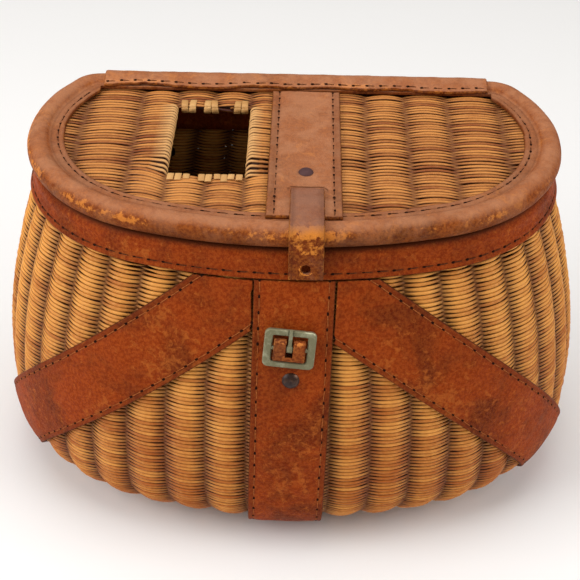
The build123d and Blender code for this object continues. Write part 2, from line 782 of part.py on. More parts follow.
strap_inner = bead_radius + seat
strap_outer = strap_inner + strap_leather
bead_y = lid_front + bead_radius
strap_end_z = bead_z - strap_drop
strap_hinge_z = bead_z + strap_outer + strap_hinge_lift

with BuildPart() as strap_anchor:
    tail_z = bead_z + tail_level
    lap_z = high + binding_leather + seat
    split = bead_y + seat / 2
    with BuildSketch(Plane.YZ.offset(strap_x)) as anchor_side:
        sheet_profile(
            [
                (tail_start, tail_z), (slot_back, tail_z), (slot_front, high),
                (step_y + 10, high), (step_y + 2, lap_z), (front_end, lap_z), (split, bead_z + strap_inner),
            ],
            strap_leather,
        )
    extrude(anchor_side.sketch, amount=strap_width / 2, both=True)
    rivet_hole(lid_rivet_plane, 4 * panel_out)
strap_anchor.part.label = "strap_anchor"

with BuildPart() as closure_strap:
    with BuildSketch(Plane.YZ.offset(strap_x)) as strap_side:
        with BuildLine():
            crest = bead_y - seat / 2
            hip = 0.7071
            Line((crest, bead_z + strap_outer), (crest, bead_z + strap_inner))
            ThreePointArc(
                (crest, bead_z + strap_inner),
                (bead_y - strap_inner * hip, bead_z + strap_inner * hip),
                (bead_y - strap_inner, bead_z),
            )
            Line((bead_y - strap_inner, bead_z), (bead_y - strap_inner - strap_out, strap_end_z))
            Line((bead_y - strap_inner - strap_out, strap_end_z), (bead_y - strap_outer - strap_out, strap_end_z))
            Line((bead_y - strap_outer - strap_out, strap_end_z), (bead_y - strap_outer, bead_z))
            ThreePointArc(
                (bead_y - strap_outer, bead_z),
                (bead_y - strap_outer * hip, bead_z + strap_outer * hip),
                (crest, bead_z + strap_outer),
            )
        make_face()
    extrude(strap_side.sketch, amount=strap_width / 2, both=True)
    with Locations(Plane((strap_x, bead_y, bead_z - strap_hole_drop), z_dir=(0, -1, 0))):
        Cylinder(strap_hole_radius, 4 * strap_outer, mode=Mode.SUBTRACT)
    # its lower corners are cut round
    ends = closure_strap.edges().filter_by(Axis.Y, tolerance=3).group_by(Axis.Z)[0]
    fillet(ends, 1.5)
closure_strap.part.label = "closure_strap"

for piece in (
    woven_wall, woven_base, rim_hoop, rim_band, front_panel, left_harness_strap, right_harness_strap,
    hinge_strip_body_leaf, left_belt_loop, right_belt_loop, belt_loop_rivets, belt_loop_burrs,
    buckle_chape, chape_rivet, chape_rivet_burr, buckle_frame, buckle_tongue,
    lid_weave, lid_hoop, lid_binding, lid_center_panel, hinge_strip_lid_leaf,
    fish_hole_front_wrap, fish_hole_back_wrap, lid_rivet, lid_rivet_burr, strap_anchor, closure_strap,
):
    export_step(piece.part, f"parts/{piece.part.label}.step")

# joint axes and openings, for whoever assembles the part
print("lid hinge", 0, hinge_y, hinge_z)
print("strap hinge", strap_x, bead_y, strap_hinge_z)
print("buckle bar", *bar_plane.origin, "along", *bar_plane.x_dir)
print("strap hole", strap_x, bead_y - strap_outer, bead_z - strap_hole_drop)
print("belt loops", [plane.origin for plane in loop_planes.values()], loop_planes["left"].z_dir)
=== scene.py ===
import math
import random

import bmesh
import bpy
import numpy as np
from mathutils import Matrix, Vector
from mathutils import noise as perlin
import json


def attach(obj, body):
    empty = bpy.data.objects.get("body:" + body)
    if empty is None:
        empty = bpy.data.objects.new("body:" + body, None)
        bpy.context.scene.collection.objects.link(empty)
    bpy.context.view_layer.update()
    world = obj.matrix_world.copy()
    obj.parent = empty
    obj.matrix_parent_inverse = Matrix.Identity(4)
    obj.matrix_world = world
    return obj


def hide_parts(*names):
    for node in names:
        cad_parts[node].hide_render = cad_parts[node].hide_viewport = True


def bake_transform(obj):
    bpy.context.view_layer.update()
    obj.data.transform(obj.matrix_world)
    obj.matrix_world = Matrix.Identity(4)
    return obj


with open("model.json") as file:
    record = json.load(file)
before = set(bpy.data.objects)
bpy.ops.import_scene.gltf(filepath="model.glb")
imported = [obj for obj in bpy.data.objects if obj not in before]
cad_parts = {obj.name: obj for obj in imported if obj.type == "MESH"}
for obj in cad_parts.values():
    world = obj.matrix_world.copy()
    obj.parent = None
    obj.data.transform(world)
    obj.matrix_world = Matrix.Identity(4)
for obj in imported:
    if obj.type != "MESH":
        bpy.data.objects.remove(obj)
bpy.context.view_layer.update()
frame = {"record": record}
print("frame loaded")

mm = 0.001
scene = bpy.context.scene

# each piece's sizes are in millimetres; the basket's plan is the same D of tangent arcs as the solids'
basket = {
    "front": -91.0, "back": 91.0, "widestY": 22.0, "halfWidth": 162.0,
    "frontRadius": 295.0, "corner": 22.0,
    "top": 200.0, "bellyHeight": 55.0, "bellyOut": 25.0, "rimIn": 5.0, "footIn": 16.0, "backShare": 0.35,
    "stakes": 40,
}
beadZ = 218.85


def clamp(value, low=0.0, high=1.0):
    return min(high, max(low, value))


def ease(share):
    return share * share * (3 - 2 * share)


def bell(value, middle, width):
    return math.exp(-((value - middle) / width) ** 2)


def lumps(point, scale, seed=0.0):
    return perlin.noise(Vector((point.x * scale, point.y * scale + seed, point.z * scale)))


def ripple(x, y, z):
    return perlin.noise(Vector((x, y, z)))


def bulge(height):
    # how far the wall stands outside the lid's outline
    if height >= basket["bellyHeight"]:
        rise = (height - basket["bellyHeight"]) / (basket["top"] - basket["bellyHeight"])
        return basket["bellyOut"] - (basket["bellyOut"] + basket["rimIn"]) * rise ** 2
    drop = 1 - height / basket["bellyHeight"]
    return basket["bellyOut"] - (basket["bellyOut"] + basket["footIn"]) * drop ** 3


class Outline:
    # a D seen from above, measured from the middle of its front towards +X
    def __init__(self, out, backOut, corner):
        reach = basket["widestY"] - basket["front"]
        side = (2 * basket["frontRadius"] * reach - basket["halfWidth"] ** 2 - reach ** 2)
        side /= 2 * (basket["frontRadius"] - basket["halfWidth"])
        frontY = basket["front"] + basket["frontRadius"]
        sideX = basket["halfWidth"] - side
        self.back = basket["back"] + backOut
        cornerY = self.back - corner
        run = math.sqrt((side + out - corner) ** 2 - (cornerY - basket["widestY"]) ** 2)
        self.cornerX = sideX + run
        frontEnd = math.atan2(basket["widestY"] - frontY, sideX)
        sideEnd = math.atan2(cornerY - basket["widestY"], run)
        self.arcs = [
            (0.0, frontY, basket["frontRadius"] + out, -math.pi / 2, frontEnd),
            (sideX, basket["widestY"], side + out, frontEnd, sideEnd),
            (self.cornerX, cornerY, corner, sideEnd, math.pi / 2),
        ]
        self.half = sum(a[2] * (a[4] - a[3]) for a in self.arcs) + self.cornerX

    def at(self, share, out=0.0):
        # point and outward direction at a share of the way round
        share = share % 1.0
        mirrored = share > 0.5
        run = (1 - share if mirrored else share) * 2 * self.half
        for cx, cy, radius, first, last in self.arcs:
            length = radius * (last - first)
            if run <= length:
                angle = first + run / radius
                nx, ny = math.cos(angle), math.sin(angle)
                x, y = cx + (radius + out) * nx, cy + (radius + out) * ny
                break
            run -= length
        else:
            x, y, nx, ny = self.cornerX - run, self.back + out, 0.0, 1.0
        return (-x, y, -nx, ny) if mirrored else (x, y, nx, ny)


outlineCache = {}


def wallOutline(height):
    key = round(height, 2)
    if key not in outlineCache:
        out = bulge(key)
        swell = out + basket["rimIn"]
        outlineCache[key] = Outline(out, basket["backShare"] * swell - basket["rimIn"],
                                    basket["corner"] - basket["rimIn"] + swell / 2)
    return outlineCache[key]


lidOutline = Outline(0.0, 0.0, basket["corner"])


def wallAt(share, height, out):
    # a point out from the wall's crests, with the surface's normal there
    x, y, nx, ny = wallOutline(height).at(share)
    up = (bulge(min(height + 1, basket["top"] - 0.1)) - bulge(max(height - 1, 0.1))) / 2
    if ny > 0.9:
        up *= basket["backShare"]
    normal = Vector((nx, ny, -up)).normalized()
    return Vector((x, y, height)) + normal * out, normal


# the camera fitted to the photo, in millimetres and degrees
view = {"lens": 80.8, "elevation": 36.8, "azimuth": 0.45, "roll": 1.0, "place": (4.4, -671.8, 620.6)}


def addObject(name, data):
    piece = bpy.data.objects.new(name, data)
    scene.collection.objects.link(piece)
    return piece


def addCamera():
    e, a, roll = (math.radians(view[k]) for k in ("elevation", "azimuth", "roll"))
    right = Vector((math.cos(a), math.sin(a), 0))
    forward = Vector((-math.sin(a) * math.cos(e), math.cos(a) * math.cos(e), -math.sin(e)))
    up = right.cross(forward)
    turnedRight = right * math.cos(roll) + up * math.sin(roll)
    turnedUp = up * math.cos(roll) - right * math.sin(roll)
    data = bpy.data.cameras.new("viewCamera")
    data.lens = view["lens"]
    data.sensor_width = 36.0
    data.clip_start, data.clip_end = 0.05, 20.0
    turn = Matrix((turnedRight, turnedUp, -forward)).transposed()
    scene.camera = addObject("viewCamera", data)
    scene.camera.matrix_world = Matrix.Translation(Vector(view["place"]) * mm) @ turn.to_4x4()


addCamera()
scene.view_settings.view_transform = "Standard"
scene.view_settings.look = "None"


def live(sockets, name):
    # of several sockets with one name, the one in use
    return next(s for s in sockets if s.enabled and s.name == name)


class Tree:
    # a node tree, with short ways to add what the finishes and the weave need
    def __init__(self, tree):
        self.tree = tree

    def feed(self, socket, value):
        # links a socket or sets a plain value; colours are given without alpha
        if isinstance(value, bpy.types.NodeSocket):
            self.tree.links.new(value, socket)
        else:
            socket.default_value = (*value, 1) if socket.type == "RGBA" else value

    def add(self, kind, inputs=None, **settings):
        node = self.tree.nodes.new(kind)
        for key, value in settings.items():
            setattr(node, key, value)
        for key, value in (inputs or {}).items():
            self.feed(node.inputs[key], value)
        return node

    def make(self, kind, inputs=None, **settings):
        # a new node's first output
        return self.add(kind, inputs, **settings).outputs[0]

    def math(self, operation, first, second=0.0, clamped=False):
        return self.make("ShaderNodeMath", {0: first, 1: second}, operation=operation, use_clamp=clamped)

    def plus(self, first, second):
        return self.math("ADD", first, second)

    def minus(self, first, second):
        return self.math("SUBTRACT", first, second)

    def times(self, first, second, clamped=False):
        return self.math("MULTIPLY", first, second, clamped)

    def mix(self, factor, first, second):
        return self.add("ShaderNodeMix", {0: factor, 6: first, 7: second}, data_type="RGBA").outputs[2]

    def span(self, value, low, high, toLow=0.0, toHigh=1.0):
        # eases from toLow to toHigh as the value goes from low to high
        return self.make("ShaderNodeMapRange", {0: value, 1: low, 2: high, 3: toLow, 4: toHigh},
                         interpolation_type="SMOOTHSTEP")

    def noise(self, scale, detail=3.0, roughness=0.55, distortion=0.0):
        return self.add("ShaderNodeTexNoise", {
            "Vector": self.place(), "Scale": scale, "Detail": detail, "Roughness": roughness,
            "Distortion": distortion}).outputs["Fac"]

    def place(self, kind="Object"):
        return self.add("ShaderNodeTexCoord").outputs[kind]

    def upward(self, vector):
        return self.add("ShaderNodeSeparateXYZ", {0: vector}).outputs["Z"]

    def attribute(self, name, kind="Fac"):
        return self.add("ShaderNodeAttribute", attribute_name=name).outputs[kind]

    def vector(self, operation, first, second):
        other = "Scale" if operation == "SCALE" else 1
        return self.make("ShaderNodeVectorMath", {0: first, other: second}, operation=operation)

    def named(self, name, kind="FLOAT"):
        node = self.add("GeometryNodeInputNamedAttribute", {"Name": name}, data_type=kind)
        return live(node.outputs, "Attribute")

    def store(self, geometry, name, value):
        node = self.add("GeometryNodeStoreNamedAttribute", {"Name": name, "Geometry": geometry},
                        data_type="FLOAT", domain="POINT")
        self.feed(live(node.inputs, "Value"), value)
        return node.outputs["Geometry"]

    def paint(self, geometry, material):
        return self.make("GeometryNodeSetMaterial", {"Geometry": geometry, "Material": material})


def newGroup(name, inputs, output, kind="ShaderNodeTree"):
    # an input is given by its default value, or by its type where it has none
    group = bpy.data.node_groups.new(name, kind)
    types = {tuple: "Color", float: "Float", int: "Int"}
    for label, value in inputs.items():
        socketType = types.get(type(value), value)
        socket = group.interface.new_socket(name=label, in_out="INPUT", socket_type="NodeSocket" + socketType)
        if socketType != value:
            socket.default_value = (*value, 1) if socketType == "Color" else value
    label, socketType = output
    group.interface.new_socket(name=label, in_out="OUTPUT", socket_type="NodeSocket" + socketType)
    given, made = group.nodes.new("NodeGroupInput"), group.nodes.new("NodeGroupOutput")
    return Tree(group), given.outputs, made.inputs[label]


def buildMottle():
    # cloudy dark stains and small worn spots, as on old oiled leather
    t, given, made = newGroup("leatherMottle", {
        "Base": (0.2, 0.05, 0.02), "Stain": (0.05, 0.02, 0.02), "Worn": (0.6, 0.2, 0.05),
        "Stain Amount": 0.6, "Worn Amount": 0.4, "Cloud Scale": 30.0, "Spot Scale": 90.0}, ("Color", "Color"))
    stain, worn = given["Stain"], given["Worn"]
    cloud = t.noise(given["Cloud Scale"], 5.0, 0.6, 0.4)
    color = t.mix(t.times(t.span(cloud, 0.42, 0.68), given["Stain Amount"]), given["Base"], stain)
    spots = t.noise(given["Spot Scale"], 6.0, 0.68, 0.6)
    broad = t.noise(t.times(given["Cloud Scale"], 0.63), 2.0)
    spots = t.plus(spots, t.times(t.minus(broad, 0.5), 0.5))
    color = t.mix(t.times(t.span(spots, 0.54, 0.66), given["Worn Amount"], True), color, worn)
    # fine flecks, lighter and darker than their surroundings
    fleck = t.span(t.noise(520.0, 4.0, 0.75), 0.38, 0.6)
    t.feed(made, t.mix(fleck, t.mix(0.32, color, stain), t.mix(0.22, color, worn)))
    return t.tree


def buildGrain():
    # leather's pores and creases, as a height
    t, given, made = newGroup("leatherGrain", {
        "Pore Scale": 700.0, "Crease Scale": 120.0, "Crease Amount": 0.6}, ("Height", "Float"))
    pores = t.add("ShaderNodeTexVoronoi", {"Vector": t.place(), "Scale": given["Pore Scale"]},
                  feature="DISTANCE_TO_EDGE")
    fine = t.times(t.span(pores.outputs["Distance"], 0.0, 0.25), 0.25)
    crease = t.times(t.noise(given["Crease Scale"], 6.0, 0.62, 1.2), given["Crease Amount"])
    t.feed(made, t.plus(fine, crease))
    return t.tree


def buildDust():
    # pale dust that gathers in patches and on faces that look up
    t, given, made = newGroup("dustFilm", {
        "Color": (0.3, 0.1, 0.05), "Dust": (0.35, 0.3, 0.28), "Amount": 0.3, "Upward": 0.5, "Scale": 60.0},
        ("Color", "Color"))
    patch = t.span(t.noise(given["Scale"], 5.0, 0.68), 0.38, 0.62, -0.35, 1.0)
    upward = t.times(t.span(t.upward(t.place("Normal")), 0.45, 0.98), given["Upward"])
    film = t.times(t.plus(patch, upward), given["Amount"], True)
    t.feed(made, t.mix(film, given["Color"], given["Dust"]))
    return t.tree


groups = {"mottle": buildMottle(), "grain": buildGrain(), "dust": buildDust()}


def useGroup(t, name, inputs=None):
    return t.make("ShaderNodeGroup", inputs, node_tree=groups[name])


def newMaterial(name):
    material = bpy.data.materials.new(name)
    material.use_nodes = True
    return material, Tree(material.node_tree), material.node_tree.nodes["Principled BSDF"].inputs


def addBump(t, shader, height, strength, distance):
    bump = t.make("ShaderNodeBump", {"Height": height, "Strength": strength, "Distance": distance})
    t.feed(shader["Normal"], bump)


def leather(name, base, stain, worn, stainAmount, wornAmount, dust, dustAmount, upward=0.5, margin=0.5,
            edge=(0.035, 0.012, 0.006), spot=90.0):
    material, t, shader = newMaterial(name)
    color = useGroup(t, "mottle", {"Base": base, "Stain": stain, "Worn": worn, "Stain Amount": stainAmount,
                                   "Worn Amount": wornAmount, "Spot Scale": spot})
    # wear rubs the finish off, and on the closing strap it also paints a highlight round its hole; "dark" is
    # grime in seams and along cut edges, and painted shadow under the lid's bead, on the rim band's top and along
    # the slot in the lid's panel
    ragged = t.times(t.minus(t.noise(260.0, 5.0, 0.7), 0.5), 1.5)
    color = t.mix(t.span(t.plus(t.attribute("wearAndHighlight"), ragged), 0.42, 0.62), color, worn)
    color = useGroup(t, "dust", {"Color": color, "Dust": dust, "Amount": dustAmount, "Upward": upward})
    # the dark attribute, for grime, dark cut edges and painted shade alike, mixes towards the edge colour
    t.feed(shader["Base Color"], t.mix(t.times(t.attribute("dark"), margin, True), color, edge))
    grain = useGroup(t, "grain")
    t.feed(shader["Roughness"], t.span(grain, 0.2, 0.7, 0.67, 0.45))
    t.feed(shader["Specular IOR Level"], 0.06)
    addBump(t, shader, grain, 0.6, 0.0007)
    return material


def willow(name, straw, honey, paintedShadeColor, toneSpread=0.55, pale=(0.74, 0.50, 0.24), edgeShade=1.0, crest=0.3,
           clear=1.0):
    material, t, shader = newMaterial(name)
    wave = t.attribute("wave")
    fibre = t.noise(420.0, 4.0, 0.65)
    bright = t.times(t.minus(t.attribute("tone"), 0.63), toneSpread)
    bright = t.plus(t.plus(bright, 0.24), t.times(t.noise(26.0, 3.0, 0.6), 0.9))
    bright = t.plus(bright, t.times(t.minus(fibre, 0.5), 0.55))
    bright = t.plus(bright, t.span(t.upward(t.place()), 0.04, 0.17, -0.12, 0.14))
    color = t.mix(t.span(bright, 0.25, 1.15), honey, straw)
    color = t.mix(t.attribute("bleach"), color, pale)
    # painted shade: a strand darkens towards its shade colour where it passes behind a stake
    shade = t.span(wave, -0.35, 0.95, 1.0, 0.0)
    if edgeShade:
        # painted shade: dark where a strand dives from the side it's seen from, and along its upper and lower
        # edges
        facing = t.add("ShaderNodeVectorMath", {0: t.place("Normal"), 1: t.attribute("out", "Vector")},
                       operation="DOT_PRODUCT").outputs["Value"]
        outward = t.times(wave, t.math("SIGN", facing))
        edge = t.span(t.math("ABSOLUTE", facing), 0.3, 0.98, edgeShade, 0.0)
        edge = t.times(edge, t.span(outward, 0.45, 1.0, 1.0, crest))
        shade = t.math("MAXIMUM", t.span(outward, -0.5, clear, 1.0, 0.0), edge)
    t.feed(shader["Base Color"], t.mix(shade, color, paintedShadeColor))
    t.feed(shader["Roughness"], t.span(fibre, 0.3, 0.7, 0.65, 0.47))
    t.feed(shader["Specular IOR Level"], 0.3)
    addBump(t, shader, fibre, 0.3, 0.0004)
    return material


def thread(name, color):
    material, t, shader = newMaterial(name)
    uneven = t.noise(900.0, 3.0)
    t.feed(shader["Base Color"], t.mix(t.span(uneven, 0.3, 0.7), color, [c * 0.55 for c in color]))
    t.feed(shader["Roughness"], 0.8)
    t.feed(shader["Specular IOR Level"], 0.06)
    addBump(t, shader, uneven, 0.5, 0.0003)
    return material


def metal(name, clean, tarnish, amount, rough):
    material, t, shader = newMaterial(name)
    film = t.span(t.noise(140.0, 6.0, 0.65, 0.5), 0.5 - amount * 0.3, 0.75 - amount * 0.3)
    t.feed(shader["Base Color"], t.mix(film, clean, tarnish))
    t.feed(shader["Metallic"], t.span(film, 0.0, 1.0, 0.95, 0.45))
    t.feed(shader["Roughness"], t.span(film, 0.0, 1.0, rough, rough + 0.25))
    addBump(t, shader, t.noise(700.0, 4.0, 0.6), 0.4, 0.0003)
    return material


finishes = {
    # each willow's third colour is the painted shade in its gaps and along its strands' edges
    "willow": willow("wovenWillow", (0.77, 0.335, 0.062), (0.39, 0.095, 0.006), (0.055, 0.008, 0.001),
                     pale=(0.70, 0.42, 0.17)),
    "lidWillow": willow("lidWillow", (0.60, 0.235, 0.050), (0.25, 0.058, 0.006), (0.055, 0.009, 0.001),
                        toneSpread=1.15, crest=0.8, clear=0.75, pale=(0.68, 0.38, 0.14)),
    "cane": willow("paleCane", (0.62, 0.34, 0.12), (0.42, 0.19, 0.05), (0.16, 0.07, 0.02), edgeShade=0.0),
    "harness": leather("harnessLeather", (0.27, 0.033, 0.002), (0.10, 0.011, 0.001), (0.46, 0.12, 0.018),
                       0.9, 0.55, (0.30, 0.08, 0.03), 0.03, margin=0.7, edge=(0.085, 0.018, 0.005), spot=190.0),
    "lid": leather("lidLeather", (0.23, 0.046, 0.008), (0.10, 0.024, 0.008), (0.60, 0.19, 0.03),
                   0.9, 0.5, (0.46, 0.20, 0.10), 0.23, upward=2.1, edge=(0.055, 0.014, 0.005)),
    "strap": leather("strapLeather", (0.19, 0.030, 0.004), (0.08, 0.014, 0.004), (0.60, 0.20, 0.03),
                     0.7, 0.5, (0.29, 0.13, 0.08), 0.2, upward=3.4, margin=0.35, spot=200.0),
    "chape": leather("chapeLeather", (0.20, 0.036, 0.007), (0.08, 0.016, 0.005), (0.58, 0.19, 0.04),
                     0.7, 0.4, (0.30, 0.14, 0.08), 0.06, spot=200.0),
    "thread": thread("waxedThread", (0.42, 0.12, 0.030)),
    "dullThread": thread("dullThread", (0.10, 0.030, 0.012)),
    # the stitch holes' near-black dot is painted shade
    "hole": thread("stitchHoleShade", (0.020, 0.005, 0.002)),
    "nickel": metal("tarnishedNickel", (0.40, 0.39, 0.26), (0.19, 0.175, 0.095), 0.7, 0.36),
    "rivet": metal("brownedBrass", (0.10, 0.05, 0.03), (0.022, 0.008, 0.006), 0.75, 0.16),
    "lidRivet": metal("dullRivet", (0.15, 0.07, 0.075), (0.085, 0.035, 0.035), 1.0, 0.45),
}
print("finishes made")


def buildStrands():
    # turns guide lines into willow strands that wave in front of and behind the stakes
    t, given, made = newGroup("wovenStrands", {
        "Geometry": "Geometry", "Depth": 0.0029, "Thickness": 0.0008, "Height": 0.0011, "Waist": 0.6,
        "Waver": 0.0003, "Sides": 6, "Seed": 1, "Material": "Material"},
        ("Geometry", "Geometry"), "GeometryNodeTree")
    wave, row, out = t.math("COSINE", t.named("phase")), t.named("row"), t.named("out", "FLOAT_VECTOR")
    # each row has its own noise, so that neighbours don't waver together
    jitter = t.add("ShaderNodeTexNoise", {
        "Vector": t.make("GeometryNodeInputPosition"), "W": t.plus(t.times(row, 7.31), given["Seed"]),
        "Scale": 28.0}, noise_dimensions="4D").outputs
    shake = t.vector("SUBTRACT", jitter["Color"], (0.5, 0.5, 0.5))
    shake = t.vector("SCALE", shake, t.times(given["Waver"], 3.0))
    push = t.vector("SCALE", out, t.times(t.times(wave, given["Depth"]), t.named("lift")))
    strands = t.make("GeometryNodeMeshToCurve", {"Mesh": given["Geometry"]})
    strands = t.make("GeometryNodeSetPosition", {"Geometry": strands, "Offset": t.vector("ADD", push, shake)})
    chance = t.add("FunctionNodeRandomValue", {
        "ID": t.plus(row, 0.5), "Seed": given["Seed"]}, data_type="FLOAT")
    tone = t.plus(t.times(live(chance.outputs, "Value"), 0.6), t.times(jitter["Fac"], 0.7))
    strands = t.store(t.store(strands, "wave", wave), "tone", tone)
    strands = t.make("GeometryNodeSetCurveNormal", {"Curve": strands, "Normal": out}, mode="FREE")
    # a strand is flat and wide over its stake and narrow where it passes between two
    swell = t.times(t.math("ABSOLUTE", wave), t.minus(1.0, given["Waist"]))
    swell = t.plus(swell, t.minus(given["Waist"], 0.12))
    swell = t.plus(swell, t.times(jitter["Fac"], 0.24))
    swell = t.times(swell, t.minus(1.0, t.named("slack")))
    strands = t.make("GeometryNodeSetCurveRadius", {"Curve": strands, "Radius": swell})
    circle = t.make("GeometryNodeCurvePrimitiveCircle", {"Radius": 1.0, "Resolution": given["Sides"]})
    size = t.make("ShaderNodeCombineXYZ", {"X": given["Thickness"], "Y": given["Height"], "Z": 1.0})
    oval = t.make("GeometryNodeTransform", {"Geometry": circle, "Scale": size})
    tube = t.make("GeometryNodeCurveToMesh", {
        "Curve": strands, "Profile Curve": oval, "Fill Caps": True, "Scale": swell})
    smooth = t.make("GeometryNodeSetShadeSmooth", {0: tube})
    t.feed(made, t.paint(t.make("GeometryNodeRealizeInstances", {0: smooth}), given["Material"]))
    return t.tree


def buildStitches():
    # a thread and, where it comes out, a flat near-black dot of painted shade for its awl hole, for each point of
    # a seam
    t, given, made = newGroup("saddleStitches", {
        "Geometry": "Geometry", "Length": 0.0058, "Thread": 0.00042, "Hole": 0.001, "Twist": 0.12, "Seed": 1,
        "Material": "Material", "Hole Material": "Material"},
        ("Geometry", "Geometry"), "GeometryNodeTree")
    ahead = t.times(given["Length"], 0.5)
    behind = t.times(ahead, -1.0)

    def spot(x, rise):
        # along the seam, and up from the leather in radii of the thread
        return t.make("ShaderNodeCombineXYZ", {"X": x, "Z": t.times(given["Thread"], rise)})

    arc = t.make("GeometryNodeCurveQuadraticBezier", {
        "Resolution": 6, "Start": spot(behind, -1.0), "Middle": spot(0.0, 2.2), "End": spot(ahead, -1.0)})
    section = t.make("GeometryNodeCurvePrimitiveCircle", {"Resolution": 6, "Radius": given["Thread"]})
    strand = t.make("GeometryNodeCurveToMesh", {"Curve": arc, "Profile Curve": section, "Fill Caps": True})
    dot = t.make("GeometryNodeMeshUVSphere", {"Segments": 8, "Rings": 5, "Radius": given["Hole"]})
    dot = t.make("GeometryNodeTransform", {
        "Geometry": dot, "Scale": (1.25, 0.8, 0.22), "Translation": spot(behind, 0.0)})
    stitch = t.add("GeometryNodeJoinGeometry")
    t.feed(stitch.inputs[0], t.paint(strand, given["Material"]))
    t.feed(stitch.inputs[0], t.paint(dot, given["Hole Material"]))
    aim = t.make("FunctionNodeAlignRotationToVector", {"Vector": t.named("up", "FLOAT_VECTOR")}, axis="Z")
    lay = t.make("FunctionNodeAlignRotationToVector", {
        "Rotation": aim, "Vector": t.named("along", "FLOAT_VECTOR")}, axis="X", pivot_axis="Z")
    spin = t.add("FunctionNodeRandomValue", {"Seed": given["Seed"]}, data_type="FLOAT")
    t.feed(live(spin.inputs, "Min"), t.times(given["Twist"], -1.0))
    t.feed(live(spin.inputs, "Max"), given["Twist"])
    turn = t.make("FunctionNodeAxisAngleToRotation", {
        "Axis": (0, 0, 1), "Angle": live(spin.outputs, "Value")})
    turned = t.make("FunctionNodeRotateRotation", {
        "Rotation": lay, "Rotate By": turn}, rotation_space="LOCAL")
    points = t.make("GeometryNodeMeshToPoints", {"Mesh": given["Geometry"]})
    copies = t.make("GeometryNodeInstanceOnPoints", {
        "Points": points, "Instance": stitch.outputs[0], "Rotation": turned})
    real = t.make("GeometryNodeRealizeInstances", {0: copies})
    t.feed(made, t.make("GeometryNodeSetShadeSmooth", {0: real}))
    return t.tree


trees = {"strands": buildStrands(), "stitches": buildStitches()}


def mark(mesh, marks):
    for name, values in marks.items():
        flat = np.array(values, dtype=np.float32)
        kind, key = ("FLOAT_VECTOR", "vector") if flat.ndim > 1 else ("FLOAT", "value")
        mesh.attributes.new(name, kind, "POINT").data.foreach_set(key, flat.ravel())


def settle(piece, body, replaced=()):
    if isinstance(body, str):
        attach(piece, body)
    else:
        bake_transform(piece)
    if replaced:
        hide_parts(*replaced)
    print(piece.name, len(piece.data.polygons), "faces")


class Guide:
    # points and edges for a node tree, with what it reads at each point
    def __init__(self):
        self.points, self.edges, self.marks = [], [], {}

    def add(self, point, joined=False, **marks):
        if joined:
            self.edges.append((len(self.points) - 1, len(self.points)))
        self.points.append(point)
        for key, value in marks.items():
            self.marks.setdefault(key, []).append(value)


def grow(name, tree, line, settings, body, replaced=()):
    # runs a node tree on guide points in millimetres and keeps its result as a plain mesh
    mesh = bpy.data.meshes.new(name + "Guide")
    mesh.from_pydata([tuple(c * mm for c in p) for p in line.points], line.edges, [])
    mark(mesh, line.marks)
    guide = addObject(name + "Guide", mesh)
    modifier = guide.modifiers.new("grow", "NODES")
    modifier.node_group = trees[tree]
    items = trees[tree].interface.items_tree
    sockets = {item.name: item.identifier for item in items if item.in_out == "INPUT"}
    for key, value in settings.items():
        modifier[sockets[key]] = value
    bpy.context.view_layer.update()
    graph = bpy.context.evaluated_depsgraph_get()
    made = bpy.data.meshes.new_from_object(guide.evaluated_get(graph))
    made.name = name
    bpy.data.objects.remove(guide)
    settle(addObject(name, made), body, replaced)


def growStrands(name, line, strand, finish, body, replaced=()):
    settings = {key.capitalize(): strand[key] * mm for key in ("depth", "thickness", "height", "waver")}
    settings.update({"Waist": strand["waist"], "Seed": strand["seed"], "Material": finishes[finish]})
    grow(name, "strands", line, settings, body, replaced)


def solid(name, points, faces, finish, body, replaced, marks):
    mesh = bpy.data.meshes.new(name)
    mesh.from_pydata([tuple(c * mm for c in p) for p in points], [], faces)
    mark(mesh, marks)
    mesh.materials.append(finishes[finish])
    mesh.shade_smooth()
    piece = addObject(name, mesh)
    settle(piece, body, replaced)
    work = bmesh.new()
    work.from_mesh(mesh)
    bmesh.ops.delete(work, geom=[v for v in work.verts if not v.link_faces], context="VERTS")
    bmesh.ops.recalc_face_normals(work, faces=work.faces)
    work.to_mesh(mesh)
    work.free()


# the wall: rows of split willow woven round upright stakes
wall = {
    "pitch": 1.3, "low": 1.4, "high": 203.0, "samples": 8, "middle": -3.7, "unevenness": 0.1, "groups": 4,
    "depth": 2.75, "thickness": 1.05, "height": 1.3, "waist": 0.74, "waver": 0.36, "seed": 11,
    "looseFrom": 184.0, "looseOver": 5.0, "slack": 0.5,
}
wallStake = {
    "low": 2.0, "steps": 40, "depth": 0.0, "thickness": 2.0, "height": 2.0, "waist": 1.0, "waver": 0.1, "seed": 5,
}
midway = math.pi / 2


def levels(low, high, pitch, step=0.05):
    # heights an even distance apart along the bulging side
    found, height, owed = [], low, 0.0
    while height < high:
        if owed <= 0:
            found.append(height)
            owed += pitch
        lean = (bulge(height + step) - bulge(height)) / step
        owed -= step * math.sqrt(1 + lean * lean)
        height += step
    return found


